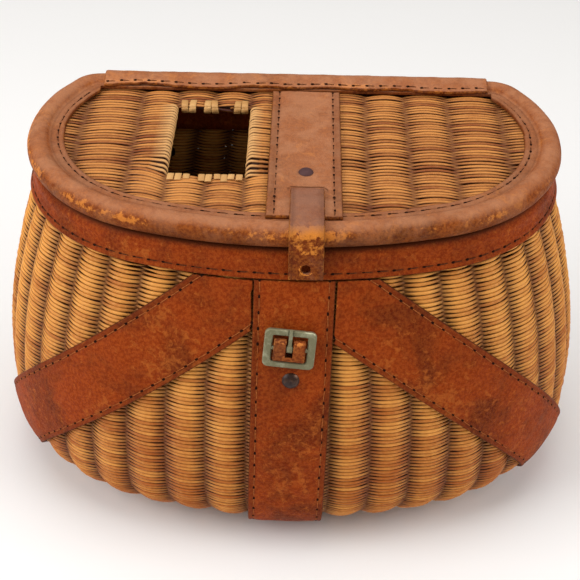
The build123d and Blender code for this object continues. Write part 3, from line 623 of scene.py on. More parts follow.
def weaveWall():
    chance = random.Random(wall["seed"])
    rows = levels(wall["low"], wall["high"], wall["pitch"])
    count = basket["stakes"] * wall["samples"]
    part = -(-len(rows) // wall["groups"])
    for g in range(wall["groups"]):
        line = Guide()
        for r in range(g * part, min(len(rows), (g + 1) * part)):
            first = len(line.points)
            for i in range(count):
                share = i / count
                uneven = chance.uniform(-wall["unevenness"], wall["unevenness"])
                place, normal = wallAt(share, rows[r], wall["middle"] + uneven)
                # near the rim the strands have shrunk in places
                loose = clamp((rows[r] - wall["looseFrom"]) / wall["looseOver"])
                loose *= clamp(3 * lumps(place, 0.06, 2.0))
                line.add(place, i > 0, phase=math.pi * (basket["stakes"] * share - 0.5 + r), out=normal,
                         row=float(r), slack=wall["slack"] * loose, lift=1.0)
            line.edges.append((len(line.points) - 1, first))
        replaced = ("woven_wall",) if g == 0 else ()
        growStrands("wallWeave%d" % (g + 1), line, wall, "willow", "basket", replaced)
    line = Guide()
    for s in range(basket["stakes"]):
        for i in range(wallStake["steps"] + 1):
            height = wallStake["low"] + (wall["high"] - wallStake["low"]) * i / wallStake["steps"]
            place, normal = wallAt((s + 0.5) / basket["stakes"], height, wall["middle"])
            line.add(place, i > 0, phase=midway, out=normal, row=200.0 + s)
    growStrands("wallStakes", line, wallStake, "willow", "basket")


weaveWall()

# flat weave: the lid, whose weavers run along the creel, and the floor
lid = {
    "inset": 13.2, "frontMargin": 1.0, "backMargin": 1.5, "z": beadZ - 1.0, "facing": 1.0,
    "pitch": 1.6, "step": 3.3, "depth": 1.5, "thickness": 0.9, "height": 1.55, "waist": 0.68, "waver": 0.42,
    "seed": 4,
    "dips": (-198.0, -165.0, -131.0, -97.0, -74.0, -51.0, -28.0, -10.0, 18.0, 44.0, 69.5, 96.0, 128.6,
             162.0, 195.0),
    "holeLeft": -74.5, "holeRight": -27.5, "holeFront": -26.0, "holeBack": 55.0, "stakeLeft": -85.5,
    "stakeRight": -19.0, "rim": 2.6, "crown": 0.6,
    "bow": 9.5, "bowLeft": -100.0, "bowGrows": 34.0, "bowMiddle": -40.0, "bowRight": 22.0, "bowFades": 50.0,
    "bowLeast": 0.35, "bowAhead": 62.0, "bowBehind": 9.0,
}
floorWeave = {
    "inset": 3.0, "frontMargin": 1.0, "backMargin": 1.0, "z": 2.75, "facing": -1.0,
    "pitch": 1.8, "step": 3.6, "depth": 1.3, "thickness": 0.85, "height": 1.8, "waist": 0.85, "waver": 0.42,
    "seed": 9, "dips": tuple(26.0 * i for i in range(-8, 9)),
}
flatStake = {
    "steps": 30, "depth": 0.0, "thickness": 0.9, "height": 1.8, "waist": 1.0, "waver": 0.1, "seed": 6,
}


def halfSpan(outline, inset, y, samples=400):
    # half the D's length at one depth, or nothing where the line misses it
    around = [outline.at(0.5 * i / samples, -inset) for i in range(samples)]
    return max((x for x, py, nx, ny in around if abs(py - y) < 1.2), default=None)


def phaseAt(x, dips):
    # a strand passes between two stakes at each dip and over or under one midway
    i = 0
    while i < len(dips) - 2 and dips[i + 1] < x:
        i += 1
    return math.pi * (i - 0.5 + (x - dips[i]) / (dips[i + 1] - dips[i]))


def bowAt(x, y, weave):
    # weavers are pushed forward where they pass the front of the hole, and crowd there
    turn = weave["holeFront"] + weave["bow"]
    reach = clamp((weave["bowRight"] - x) / weave["bowFades"], weave["bowLeast"])
    if x < weave["bowMiddle"]:
        reach = clamp((x - weave["bowLeft"]) / weave["bowGrows"])
    near = max(0.0, 1 - (turn - y) / weave["bowAhead"]) if y < turn else bell(y, turn, weave["bowBehind"])
    return weave["bow"] * ease(reach) * near


def flatRow(r, y, start, end, weave):
    count = max(2, round(abs(end - start) / weave["step"]))
    row = []
    for i in range(count + 1):
        x = start + (end - start) * i / count
        waver = 0.8 * ripple(x * 0.02, y * 0.05, 3.0)
        bend = waver - bowAt(x, y, weave) if "bow" in weave else 0.5 * waver
        row.append((Vector((x, y + bend, weave["z"])), {
            "phase": phaseAt(x, weave["dips"]) + math.pi * r, "out": (0.0, 0.0, weave["facing"]),
            "bleach": 0.0, "lift": 1.0}))
    return row


def turnAtHole(row, r, side, weave, chance):
    # beside the hole a strand stays on top from the last stake, goes over the edge and back under
    edge, rim, crown = row[-1][0], weave["rim"], weave["crown"]
    crest = weave["stakeLeft" if side > 0 else "stakeRight"]
    over = math.cos(phaseAt(crest, weave["dips"]) + math.pi * r) > 0
    row = [q for q in row if side * (crest - q[0].x) > 0]
    last, run = row[-1][0].y, abs(edge.x - crest) - rim
    lift = weave["depth"] if over else -weave["depth"]

    def hold(spot, out, bleach):
        row.append((spot, {"phase": 0.0 if over else math.pi, "out": out, "bleach": bleach, "lift": 0.0}))

    for share in (0.0, 0.25, 0.5, 0.75, 1.0):
        rise = crown * share if over else 0.0
        y = edge.y + (last - edge.y) * (1 - share)
        spot = Vector((crest + side * run * share, y, weave["z"] + lift + rise))
        hold(spot, (0.0, 0.0, 1.0), 0.7 * share if over else 0.0)
    if over:
        drop = chance.uniform(-0.5, 0.5)
        for k in range(1, 8):
            angle = math.radians(90 - 26 * k)
            way = Vector((side * math.cos(angle), 0, math.sin(angle)))
            y = edge.y - 0.25 * k + drop * 0.3
            centre = Vector((edge.x - side * rim, y, weave["z"] + lift + crown - rim))
            hold(centre + way * rim, way, 0.8)
    return row


def flatStakes(outline, weave, front, back):
    # stakes from front to back, cut where they meet the hole or the outline
    def placeAt(x, y):
        half = halfSpan(outline, weave["inset"], y)
        if half is None or abs(x) > half:
            return None
        beside = "bow" not in weave or not weave["holeLeft"] < x < weave["holeRight"]
        clear = beside or not weave["holeFront"] < y < weave["holeBack"]
        return Vector((x, y, weave["z"])) if clear else None

    line = Guide()
    steps = flatStake["steps"]
    for a, b in zip(weave["dips"], weave["dips"][1:]):
        x, joined = (a + b) / 2, False
        stretch = [placeAt(x, front + (back - front) * i / steps) for i in range(steps + 1)]
        for place, following in zip(stretch, stretch[1:] + [None]):
            if place and (joined or following):
                line.add(place, joined, phase=midway, out=(0.0, 0.0, weave["facing"]), row=300 + x)
            joined = place is not None
    return line


def weaveFlat(name, outline, weave, finish, body, replaced):
    chance = random.Random(weave["seed"])
    front = outline.at(0.0)[1] + weave["inset"] + weave["frontMargin"]
    back = outline.back - weave["inset"] - weave["backMargin"]
    count = round((back - front) / weave["pitch"])
    rows = []
    for r in range(count + 1):
        y = front + (back - front) * r / count + chance.uniform(-0.3, 0.3)
        half = halfSpan(outline, weave["inset"], y)
        if half is None:
            continue
        if "bow" in weave and weave["holeFront"] + weave["bow"] < y < weave["holeBack"] + 0.8:
            rows += [(r, y, -half, weave["holeLeft"], 1.0), (r, y, half, weave["holeRight"], -1.0)]
        else:
            rows.append((r, y, -half, half, 0.0))
    line = Guide()
    for r, y, start, end, side in rows:
        row = flatRow(r, y, start, end, weave)
        if side:
            row = turnAtHole(row, r, side, weave, chance)
        for i, (place, marks) in enumerate(row):
            line.add(place, i > 0, row=float(r), **marks)
    growStrands(name, line, weave, finish, body, replaced)
    growStrands(name + "Stakes", flatStakes(outline, weave, front, back), flatStake, finish, body)


weaveFlat("lidWeave", lidOutline, lid, "lidWillow", "lid", ("lid_weave",))
weaveFlat("floorWeave", wallOutline(2.0), floorWeave, "willow", "basket", ("woven_base",))


# leather: sheets with rounded cut edges that dip along their seams
def stations(length, step, near=(0.0, 0.25, 0.6, 1.1, 1.8)):
    count = max(2, round((length - 2 * near[-1]) / step))
    inner = [near[-1] + (length - 2 * near[-1]) * i / count for i in range(1, count)]
    return [d / length for d in list(near) + inner + [length - d for d in reversed(near)]]


def sheet(name, piece, length, place, finish, body, replaced, rubAndHighlight=None, paintedShade=None, skip=None,
          shift=None, extra=((), ())):
    # shares across and along run from 0 to 1; extra holds lines of points at further distances
    width, thick, seam, cut = piece["width"], piece["leather"], piece.get("seam"), piece.get("cut", 0.9)
    across = sorted(stations(width, piece["step"]) + [a / width for a in extra[0]])
    along = sorted(stations(length, piece["step"]) + [a / length for a in extra[1]])
    top, low, darks, wearsAndHighlights = [], [], [], []
    for v0 in along:
        for u0 in across:
            u, v = shift(u0, v0) if shift else (u0, v0)
            point, normal = place(u, v)
            side = min(u, 1 - u) * width
            near = min(side, min(v, 1 - v) * length)
            turn = math.sqrt(max(0.0, 1 - (1 - min(near, cut) / cut) ** 2))
            sunk = bell(side, seam, 1.1) if seam else 0.0
            height = thick * (0.35 + 0.65 * turn) - piece.get("dip", 0.0) * sunk
            height += piece["lump"] * lumps(point, 0.07) + 0.4 * piece["lump"] * lumps(point, 0.3, 9.0)
            margin = 0.5 if seam and side < seam - 0.4 else 0.0
            top.append(point + normal * max(0.3, height))
            low.append(point)
            # extra painted shade, for a sheet that is given it
            shadeHere = paintedShade(point) if paintedShade else 0.0
            darks.append(min(2.0, bell(near, 0.0, 0.55) + 0.45 * sunk + margin + shadeHere))
            # the larger of wear along the cut edges and the sheet's own wear, which on the closing strap includes
            # a painted highlight round its hole
            wearsAndHighlights.append(max(0.55 * math.exp(-near / 1.6), rubAndHighlight(u, v, point) if rubAndHighlight else 0.0))
    wide, count = len(across), len(top)
    faces, sides = [], {}
    for j in range(len(along) - 1):
        for i in range(wide - 1):
            middle = ((across[i] + across[i + 1]) / 2 * width, (along[j] + along[j + 1]) / 2 * length)
            if skip and skip(*middle):
                continue
            a = j * wide + i
            face = (a, a + 1, a + wide + 1, a + wide)
            faces += [face, tuple(count + c for c in reversed(face))]
            for p, q in zip(face, face[1:] + face[:1]):
                if not sides.pop((q, p), None):
                    sides[(p, q)] = True
    faces += [(q, p, count + p, count + q) for p, q in sides]
    solid(name, top + low, faces, finish, body, replaced, {"dark": darks * 2, "wearAndHighlight": wearsAndHighlights * 2})


def centreRun(place, steps=100):
    # a sheet's length along its middle
    line = [place(0.5, i / steps)[0] for i in range(steps + 1)]
    return sum((b - a).length for a, b in zip(line, line[1:]))


# seams, with each one's body, thread, thread radius and stitch length
seams = {
    "harness": ("basket", "thread", 0.26, 7.6),
    "band": ("basket", "dullThread", 0.3, 5.4),
    "lid": ("lid", "dullThread", 0.24, 5.0),
}
stitches = {key: Guide() for key in seams}
proud = 0.05


def sew(seam, place, piece, length, start=4.0, stop=4.0, backMost=math.inf):
    # stitches along a sheet's two long edges, or once round a band, whose seam is at 0
    inset, ahead = piece["seam"] / piece["width"], 0.004
    count = max(1, round((length - start - stop) / piece["pitch"]))
    for u in (inset, 1 - inset) if inset else (inset,):
        for i in range(count + 1):
            v = (start + (length - start - stop) * i / count) / length
            point, normal = place(u, v)
            along = place(u, min(1.0, v + ahead))[0] - place(u, max(0.0, v - ahead))[0]
            if point.y < backMost:
                stitches[seam].add(point + normal * (piece["leather"] - piece["dip"] + proud),
                                   along=along.normalized(), up=normal)


def sewRound(seam, place, length, leather, pitch, backMost=math.inf):
    ring = {"width": 1.0, "seam": 0.0, "leather": leather, "dip": 0.0, "pitch": pitch}
    sew(seam, place, ring, length, 0.0, length / round(length / pitch), backMost)


def placeStitches():
    for key, (body, finish, radius, length) in seams.items():
        grow(key + "Stitches", "stitches", stitches[key], {
            "Seed": 3, "Length": length * mm, "Twist": 0.06, "Thread": radius * mm,
            "Material": finishes[finish], "Hole Material": finishes["hole"]}, body)


# the harness lies on the front: an upright panel and a strap that falls away on each side of it
harness = {"width": 45.5, "leather": 2.2, "seam": 3.5, "dip": 0.45, "pitch": 9.6, "step": 1.6, "lump": 0.3,
           "seat": 0.3, "top": 191.8, "foot": 5.0}
panel = dict(harness, step=1.5, x=2.4, lean=math.tan(math.radians(1.1)), gap=0.3)


def frontShare(x, height):
    radius = basket["frontRadius"] + bulge(round(height, 2))
    return radius * math.asin(x / radius) / (2 * wallOutline(height).half)


def panelX(height):
    return panel["x"] - panel["lean"] * (panel["top"] - height)


def panelPlace(u, v):
    height = panel["top"] + (panel["foot"] - panel["top"]) * v
    return wallAt(frontShare(panelX(height) + (u - 0.5) * panel["width"], height), height, panel["seat"])


panelRun = centreRun(panelPlace)
sheet("frontPanelLeather", panel, panelRun, panelPlace, "harness", "basket", ("front_panel",))
sew("harness", panelPlace, panel, panelRun)


def harnessStrap(name, side, fall, replaced):
    # fall gives the strap's height at a run along the belly: where it starts, its slope and how that grows
    start, slope, growth = fall
    reference = wallOutline(basket["bellyHeight"]).half * 2
    first, count = 2.0, 260

    def height(run):
        return start - slope * run - growth * run * run

    def surface(run, level):
        return wallAt(side * run / reference, clamp(level, 0.5, 230.0), harness["seat"])

    last = first
    while height(last) > -harness["width"]:
        last += 1.0
    axis = []
    for i in range(count + 1):
        run = first + (last - first) * i / count
        near = max(height(run), 1.5)
        here = surface(run, near)[0]
        alongRun = surface(run + 1.0, near)[0] - here
        upward = surface(run, near + 1.0)[0] - here
        tangent = alongRun + upward * (-slope - 2 * growth * run)
        # the way across lies in the surface, square to the strap's own direction
        a, b = alongRun.dot(tangent), upward.dot(tangent)
        size = (alongRun * -b + upward * a).length
        axis.append((run, height(run), -b / size, a / size))

    def at(t, offset):
        t = clamp(t, 0.0, count - 1e-6)
        f = t - int(t)
        run, level, dr, dh = (p + (q - p) * f for p, q in zip(axis[int(t)], axis[int(t) + 1]))
        return surface(max(0.5, run + dr * offset), level + dh * offset)

    def allowed(t, offset):
        # below the rim band, above the foot and clear of the panel
        level = axis[t][1] + axis[t][3] * offset
        edge = panelX(level) + side * (panel["width"] / 2 + panel["gap"])
        return harness["foot"] < level < harness["top"] and side * (at(t, offset)[0].x - edge) > 0

    limits = {}

    def place(u, v):
        offset = (u - 0.5) * harness["width"]
        key = round(offset, 3)
        if key not in limits:
            inside = [t for t in range(count) if allowed(t, offset)]
            limits[key] = (inside[0], inside[-1])
        low, high = limits[key]
        return at(low + (high - low) * v, offset)

    run = centreRun(place)
    sheet(name, harness, run, place, "harness", "basket", replaced,
          rubAndHighlight=lambda u, v, point: 0.35 * max(0.0, lumps(point, 0.03, 4.0)))
    sew("harness", place, harness, run)


harnessStrap("leftHarnessLeather", -1, (207.6, 0.652, 0.00089), ("left_harness_strap",))
harnessStrap("rightHarnessLeather", 1, (198.9, 0.503, 0.0019), ("right_harness_strap",))


def sweep(name, count, ring, finish, body, replaced):
    # a closed band: ring gives the points round its section at a share of the way round
    sections = [ring(i / count) for i in range(count)]
    wide = len(sections[0])
    points, darks, wearsAndHighlights = zip(*(row for section in sections for row in section))
    faces = []
    for i in range(count):
        here, following = i * wide, (i + 1) % count * wide
        for j in range(wide):
            k = (j + 1) % wide
            faces.append((here + j, here + k, following + k, following + j))
    solid(name, points, faces, finish, body, replaced, {"dark": darks, "wearAndHighlight": wearsAndHighlights})


def arcPoints(cx, cz, radius, first, last, count):
    angles = [math.radians(first + (last - first) * i / count) for i in range(count + 1)]
    return [(cx + radius * math.cos(a), cz + radius * math.sin(a)) for a in angles]


# the rim band's skirt is given as heights, with how far each stands out from the wall
band = {
    "centre": -4.0, "z": 204.3, "radius": 6.8, "leather": 2.2, "skirt": 192.1, "seam": 195.5, "pitch": 8.6,
    "shadow": 208.2,
    "outside": ((192.1, 0.6), (192.1, 1.6), (192.35, 2.35), (192.9, 2.75), (194.4, 2.6), (195.5, 2.2),
                (196.6, 2.6), (198.5, 2.8), (200.0, 2.8)),
}


def bandRing(share):
    x, y, nx, ny = wallOutline(basket["top"]).at(share)
    inner = band["radius"] - band["leather"]
    section = []

    def put(out, z, dark, wearAndHighlight):
        section.append((Vector((x + nx * out, y + ny * out, z)), dark, wearAndHighlight))

    for z, out in band["outside"]:
        point, normal = wallAt(share, z, 0.0)
        bump = 0.35 * lumps(point, 0.05) if out > 2.0 else 0.0
        dark = bell(z, band["skirt"], 0.5) + 0.4 * bell(z, band["seam"], 1.0)
        wearAndHighlight = 0.5 * math.exp(-(z - band["skirt"]) / 1.5)
        section.append((point + normal * (out + bump), min(1.0, dark), wearAndHighlight))
    for out, z in arcPoints(band["centre"], band["z"], band["radius"], 0, 180, 14):
        lump = 0.35 * ripple(x * 0.05, y * 0.05, z * 0.1)
        raised = lump * 0.5 if z > band["z"] + 3 else 0.0
        put(out + lump * 0.6, z + raised, 1.6 * clamp((z - band["shadow"]) / 2.0), 0.25)
    for z in (200.0, 196.0, band["skirt"]):
        put(band["centre"] - band["radius"], z, 0.0, 0.1)
    for z in (band["skirt"], 196.0, 200.0):
        put(band["centre"] - inner, z, 0.3, 0.0)
    for out, z in arcPoints(band["centre"], band["z"], inner, 180, 0, 10):
        put(out, z, 0.3, 0.0)
    for z in (200.0, 196.0):
        section.append((wallAt(share, z, 0.5)[0], 0.5, 0.0))
    return section


sweep("rimBandLeather", 360, bandRing, "harness", "basket", ("rim_band",))
bandRun = wallOutline(band["seam"]).half * 2
sewRound("band", lambda u, v: wallAt(v, band["seam"], 0.0), bandRun, 2.25, band["pitch"])

# the lid's bead is leather folded round a hoop, with flanges that run in over and under the weave
bead = {
    "inset": 7.25, "radius": 7.25, "leather": 2.2, "fold": -14.4, "flange": -22.25, "cornerFlange": -21.6,
    "backFlange": -16.2, "seam": 18.6, "seamTop": 3.45, "pitch": 8.8, "stitchedTo": 69.0,
    "under": -6.0, "underTop": -3.8, "lip": 1.8,
    "over": ((-21.7, 3.7, 0.5, 0.3), (-20.8, 3.95, 0.4, 0.2), (-19.8, 3.9, 0.35, 0.0), (-18.6, 3.4, 0.7, 0.0),
             (-17.4, 3.85, 0.35, 0.0), (-15.6, 3.75, 0.35, 0.0)),
}


def beadRing(share):
    x, y, nx, ny = lidOutline.at(share)
    section = []

    def put(out, v, dark=0.0, wearAndHighlight=0.0, lump=0.0):
        spot = Vector((x + nx * out, y + ny * out, beadZ + v))
        spot.z += lump * ripple(spot.x * 0.055, spot.y * 0.055, 2.0)
        section.append((spot, dark, wearAndHighlight))

    # the flange can't run past the middle of the back corners' arcs
    fold = bead["fold"]
    edge = bead["backFlange"] if ny > 0.999 else bead["cornerFlange"] if ny > 0 else bead["flange"]
    squeeze = (edge - fold) / (bead["flange"] - fold)
    put(edge, 2.2, 0.9)
    put(edge, 3.1, 1.0)
    for out, v, dark, wearAndHighlight in bead["over"]:
        put(fold + (out - fold) * squeeze, v, dark, wearAndHighlight, 0.5)
    put(fold, 3.6, 0.7, 0.0, 0.3)
    blotches = 0.45 + 0.8 * ripple(x * 0.04, y * 0.04, 17.0)
    patch = 0.5 + 1.6 * ripple(x * 0.028, y * 0.028, 7.0)
    for i, (out, v) in enumerate(arcPoints(-bead["inset"], 0.0, bead["radius"], 148, -148, 26)):
        outer = out > -bead["inset"]
        swell = 0.3 * ripple(x * 0.06, y * 0.06, v * 0.12) if i < 18 else 0.0
        lowBlotches = max(0.0, blotches) * (5.5 - v) / 7.0 if outer and v < 5.5 else 0.0
        worn = 0.75 * bell(v, 2.5, 4.2) * patch if outer else 0.0
        # painted shadow on the bead's underside, from 3.6 mm below its middle down; its outer side is also darker
        # in blotches towards the bottom
        put(out + (swell if outer else -swell) * 0.5, v + (swell if v > 0 else 0.0),
            max(1.6 * clamp((-3.6 - v) / 2.5), lowBlotches), max(0.0, worn))
    put(-16.0, bead["under"])
    put((edge - 16.0) / 2, bead["under"])
    put(edge, bead["under"], 0.6)
    put(edge, bead["underTop"], 0.6)
    put(-14.6, bead["underTop"])
    for out, v in arcPoints(-bead["inset"], 0.0, bead["radius"] - bead["leather"], -140, 140, 12):
        put(out, v)
    put(-14.6, bead["lip"])
    put(edge, bead["lip"], 0.8)
    return section


def alongBead(u, v):
    x, y, nx, ny = lidOutline.at(v, -bead["seam"])
    return Vector((x, y, beadZ + bead["seamTop"])), Vector((0, 0, 1))


sweep("lidBindingLeather", 420, beadRing, "lid", "lid", ("lid_binding",))
beadRun = lidOutline.half * 2 - 2 * math.pi * bead["seam"]
sewRound("lid", alongBead, beadRun, 0.05, bead["pitch"], bead["stitchedTo"])

# the closing strap comes up through a slot in the lid's panel
strap = {"width": 19.5, "x": 8.4, "leather": 2.2, "seam": 2.6, "dip": 0.25, "step": 0.7, "lump": 0.2,
         "holeEnd": 7.4, "holeRadius": 3.0}
lidPanel = {"width": 43.0, "leather": 2.2, "seam": 4.6, "dip": 0.4, "pitch": 8.4, "step": 1.5, "lump": 0.35,
            "x": 6.8, "back": 73.0, "front": -75.25, "z": 1.8, "ramp": -52.5, "rampRun": 8.0, "rise": 2.45}
slotLip = {"y": -41.6, "half": 9.5, "end": 11.8, "flare": 1.3, "wide": 0.7, "dark": 1.9}


def lidPanelPlace(u, v):
    y = lidPanel["back"] + (lidPanel["front"] - lidPanel["back"]) * v
    rise = lidPanel["rise"] * ease(clamp((lidPanel["ramp"] - y) / lidPanel["rampRun"]))
    x = lidPanel["x"] + (u - 0.5) * lidPanel["width"]
    return Vector((x, y, beadZ + lidPanel["z"] + rise)), Vector((0, 0, 1))


# painted shadow: a dark line along the lip of the slot the strap comes up through, curving down at its ends
def slotLipShadow(point):
    away = abs(point.x - strap["x"])
    line = slotLip["y"] - max(0.0, away - slotLip["half"]) * slotLip["flare"]
    return slotLip["dark"] * bell(point.y, line, slotLip["wide"]) if away < slotLip["end"] else 0.0


lidPanelRun = lidPanel["back"] - lidPanel["front"]
sheet("lidPanelLeather", lidPanel, lidPanelRun, lidPanelPlace, "lid", "lid", ("lid_center_panel",),
      paintedShade=slotLipShadow,
      extra=((9.8, 11.2, 12.0, 34.0, 34.8, 36.2), (113.8, 114.3, 114.8, 115.4, 116.2, 117.0)))
sew("lid", lidPanelPlace, lidPanel, lidPanelRun)


def runPath(corners):
    # a path through corners, eased by three rounds of corner cutting, and its length
    line = [Vector(c) for c in corners]
    for _ in range(3):
        cut = [line[0]]
        for a, b in zip(line, line[1:]):
            cut += [a.lerp(b, 0.25), a.lerp(b, 0.75)]
        line = cut + [line[-1]]
    runs = [0.0]
    for a, b in zip(line, line[1:]):
        runs.append(runs[-1] + (b - a).length)

    def at(v):
        goal = v * runs[-1]
        i = 0
        while i < len(runs) - 2 and runs[i + 1] < goal:
            i += 1
        f = (goal - runs[i]) / max(1e-6, runs[i + 1] - runs[i])
        ahead = line[min(i + 2, len(line) - 1)] - line[max(i - 1, 0)]
        return line[i].lerp(line[i + 1], f), ahead.normalized()

    return at, runs[-1]


# the hinge strip goes over the back bead and hangs down the wall, in (y, z)
hinge = {"width": 246.4, "leather": 1.9, "step": 1.6, "lump": 0.35, "stitches": 28, "stitchedAt": 3.4}
hingeLine = [(73.2, beadZ + 3.9), (75.4, beadZ + 4.3), (77.6, beadZ + 5.2)]
hingeLine += arcPoints(83.75, beadZ, 7.4, 110, 0, 8)
hingeLine += [(91.1, 216.0), (90.6, 212.5), (89.5, 209.0), (89.1, 204.0), (89.2, 200.0), (89.6, 194.0),
              (90.3, 188.3)]
hingeAt, hingeRun = runPath(hingeLine)


def hingePlace(u, v):
    x = (u - 0.5) * hinge["width"]
    # its front edge is wavy and a little frayed
    early = max(0.0, 1 - v * 6)
    wave = 4.2 * ripple(x * 0.026, 0.0, 5.0) + 0.7 * ripple(x * 0.2, 0.0, 8.0)
    point, ahead = hingeAt(clamp(v + early * (wave + 1.3) / hingeRun))
    return Vector((x, point.x, point.y)), Vector((0, -ahead.y, ahead.x))


def hingeRub(u, v, point):
    return 0.75 * bell(v * hingeRun, 3.0, 2.6) * max(0.0, 0.35 + 1.6 * lumps(point, 0.02, 3.0))


sheet("hingeLeather", hinge, hingeRun, hingePlace, "lid",
      ("basket", "lid", (0, 0.091, 0.2095), (0, 0.091, 0.2135)),
      ("hinge_strip_lid_leaf", "hinge_strip_body_leaf"), rubAndHighlight=hingeRub)
for i in range(hinge["stitches"]):
    point, normal = hingePlace(0.02 + 0.96 * i / (hinge["stitches"] - 1), hinge["stitchedAt"] / hingeRun)
    stitches["lid"].add(point + normal * (hinge["leather"] + proud), along=Vector((1, 0, 0)), up=normal)

# the closing strap goes from under the panel over the front bead and hangs free, in (y, z)
strapLine = [(-20.0, beadZ - 0.9), (-38.0, beadZ - 0.9), (-43.0, beadZ + 1.0), (-46.5, beadZ + 4.2),
             (-54.0, beadZ + 4.4), (-60.0, beadZ + 6.6), (-70.0, beadZ + 6.9), (-77.0, beadZ + 7.0)]
strapLine += arcPoints(-83.75, beadZ, 7.6, 100, 180, 8) + [(-91.5, 212.0), (-91.9, 205.0), (-92.0, 194.9)]
strapAt, strapRun = runPath(strapLine)


def strapPlace(u, v):
    point, ahead = strapAt(v)
    return Vector((strap["x"] + (u - 0.5) * strap["width"], point.x, point.y)), Vector((0, ahead.y, -ahead.x))


def fromHole(across, along):
    # from the middle of the strap's punched hole
    return across - strap["width"] / 2, along - (strapRun - strap["holeEnd"])


def strapWearAndHoleHighlight(u, v, point):
    # worn where it bends over the bead; round its hole a painted highlight, bright on the lower rim and faint
    # round the rest
    if point.z > 212:
        return 0.75 * bell(point.y, -89.0, 3.2)
    a, b = fromHole(u * strap["width"], v * strapRun)
    return (0.9 if b - 0.6 * a > -1.0 else 0.3) * bell(math.hypot(a, b), 3.5, 0.55)


def roundHole(u, v):
    # grid points near the punched hole move onto its edge
    a, b = fromHole(u * strap["width"], v * strapRun)
    away = math.hypot(a, b)
    if 0.01 < away and abs(away - strap["holeRadius"]) < 0.45:
        a, b = a * strap["holeRadius"] / away, b * strap["holeRadius"] / away
    return (a + strap["width"] / 2) / strap["width"], (b + strapRun - strap["holeEnd"]) / strapRun


sheet("closingStrapLeather", strap, strapRun, strapPlace, "strap",
      ("lid", "closure_strap", (0.0084, -0.0820, 0.2265), (0.0084, -0.0855, 0.2265)),
      ("strap_anchor", "closure_strap"), rubAndHighlight=strapWearAndHoleHighlight, shift=roundHole,
      skip=lambda across, along: math.hypot(*fromHole(across, along)) < strap["holeRadius"] - 0.1)

# the folded leather that carries the buckle, in the buckle's own plane: (up the panel, out from it)
chape = {"width": 18.0, "leather": 1.5, "step": 0.7, "lump": 0.15, "cut": 0.6, "x": 0.2, "z": 156.0,
         "out": 2.6, "tilt": math.radians(-5.0), "notch": 2.1, "notchFrom": -4.4,
         "tail": 8.0}
chapeLine = [(-14.0, -4.4), (-11.0, -2.2), (-7.4, 0.4), (-7.35, 4.6), (-6.9, 6.1), (-4.6, 6.4), (3.1, 6.4),
             (5.3, 5.9), (6.1, 3.4), (5.3, 0.9), (3.1, 0.4), (-5.4, 0.4), (-9.0, -2.6), (-12.0, -5.6)]
chapeAt, chapeRun = runPath(chapeLine)


def buckleAxes():
    slope = bulge(chape["z"] + 0.5) - bulge(chape["z"] - 0.5)
    normal = Vector((0, -1, -slope)).normalized()
    up = Vector((0, -slope, 1)).normalized()
    right = up.cross(normal)
    c, d = math.cos(chape["tilt"]), math.sin(chape["tilt"])
    origin = Vector((chape["x"], basket["front"] - bulge(chape["z"]) - chape["out"], chape["z"]))
    return origin, right * c + up * d, up * c - right * d, normal


def chapePlace(u, v):
    origin, right, up, out = buckleAxes()
    point, ahead = chapeAt(v)
    normal = (up * -ahead.y + out * ahead.x).normalized()
    spot = origin + right * ((u - 0.5) * chape["width"]) + up * point.x + out * point.y
    return spot - normal * chape["leather"], normal


def inNotch(across, along):
    # the tongue's slot runs round the fold, down to a height on each side of it
    inside = abs(across - chape["width"] / 2) < chape["notch"]
    height = chapeAt(along / chapeRun)[0].x
    return inside and height > chape["notchFrom"] and along > chape["tail"]


sheet("buckleChapeLeather", chape, chapeRun, chapePlace, "chape", "basket", ("buckle_chape",),
      rubAndHighlight=lambda u, v, point: 0.5 * bell(v * chapeRun, 24.5, 2.2), skip=inNotch,
      extra=((chape["width"] / 2 - chape["notch"], chape["width"] / 2 + chape["notch"]), ()))

# belt loops on the back, in (up the wall, out from it)
loops = {"width": 26.0, "leather": 2.4, "seam": 3.5, "dip": 0.35, "pitch": 8.8, "step": 1.3, "lump": 0.3,
         "x": 84.0, "y": 93.19, "z": 140.0, "lift": 8.0, "lean": 0.0846, "upright": 0.9964}
loopHalf = [(40.0, 0.0), (24.0, 0.0), (21.0, 1.0), (15.5, loops["lift"] - 0.8), (13.0, loops["lift"])]
loopAt, loopRun = runPath(loopHalf + [(-up, out) for up, out in reversed(loopHalf)])
for side, name in ((-1, "left"), (1, "right")):
    def loopPlace(u, v, side=side):
        point, ahead = loopAt(v)
        out, up = Vector((0, loops["upright"], loops["lean"])), Vector((0, -loops["lean"], loops["upright"]))
        spot = Vector((side * loops["x"] - (u - 0.5) * loops["width"], loops["y"], loops["z"]))
        return spot + up * point.x + out * point.y, (out * -ahead.x + up * ahead.y).normalized()

    sheet(name + "BeltLoopLeather", loops, loopRun, loopPlace, "harness", "basket", (name + "_belt_loop",))
    sew("harness", loopPlace, loops, loopRun, 5.0, 5.0)

# flat cane wrapped round the front and back edges of the hole, one band beside the other
cane = {"top": beadZ + 1.9, "bottom": beadZ - 3.9, "thick": 0.4, "rings": 22, "gap": 0.2}
caneChance = random.Random(21)


def caneLine(edgeY, side, lift, reach):
    # round the edge in (y, z), from the hole's upper side to its under side
    top, bottom = cane["top"], cane["bottom"]
    steps = ((6.5 + reach, top - 0.5 + lift), (3.0, top + lift), (0.6, top - 0.1 + lift), (-0.6, top - 1.5),
             (-0.8, (top + bottom) / 2), (-0.4, bottom + 1.0), (1.2, bottom), (7.0, bottom - 0.1))
    return runPath([(edgeY + side * away, z) for away, z in steps])


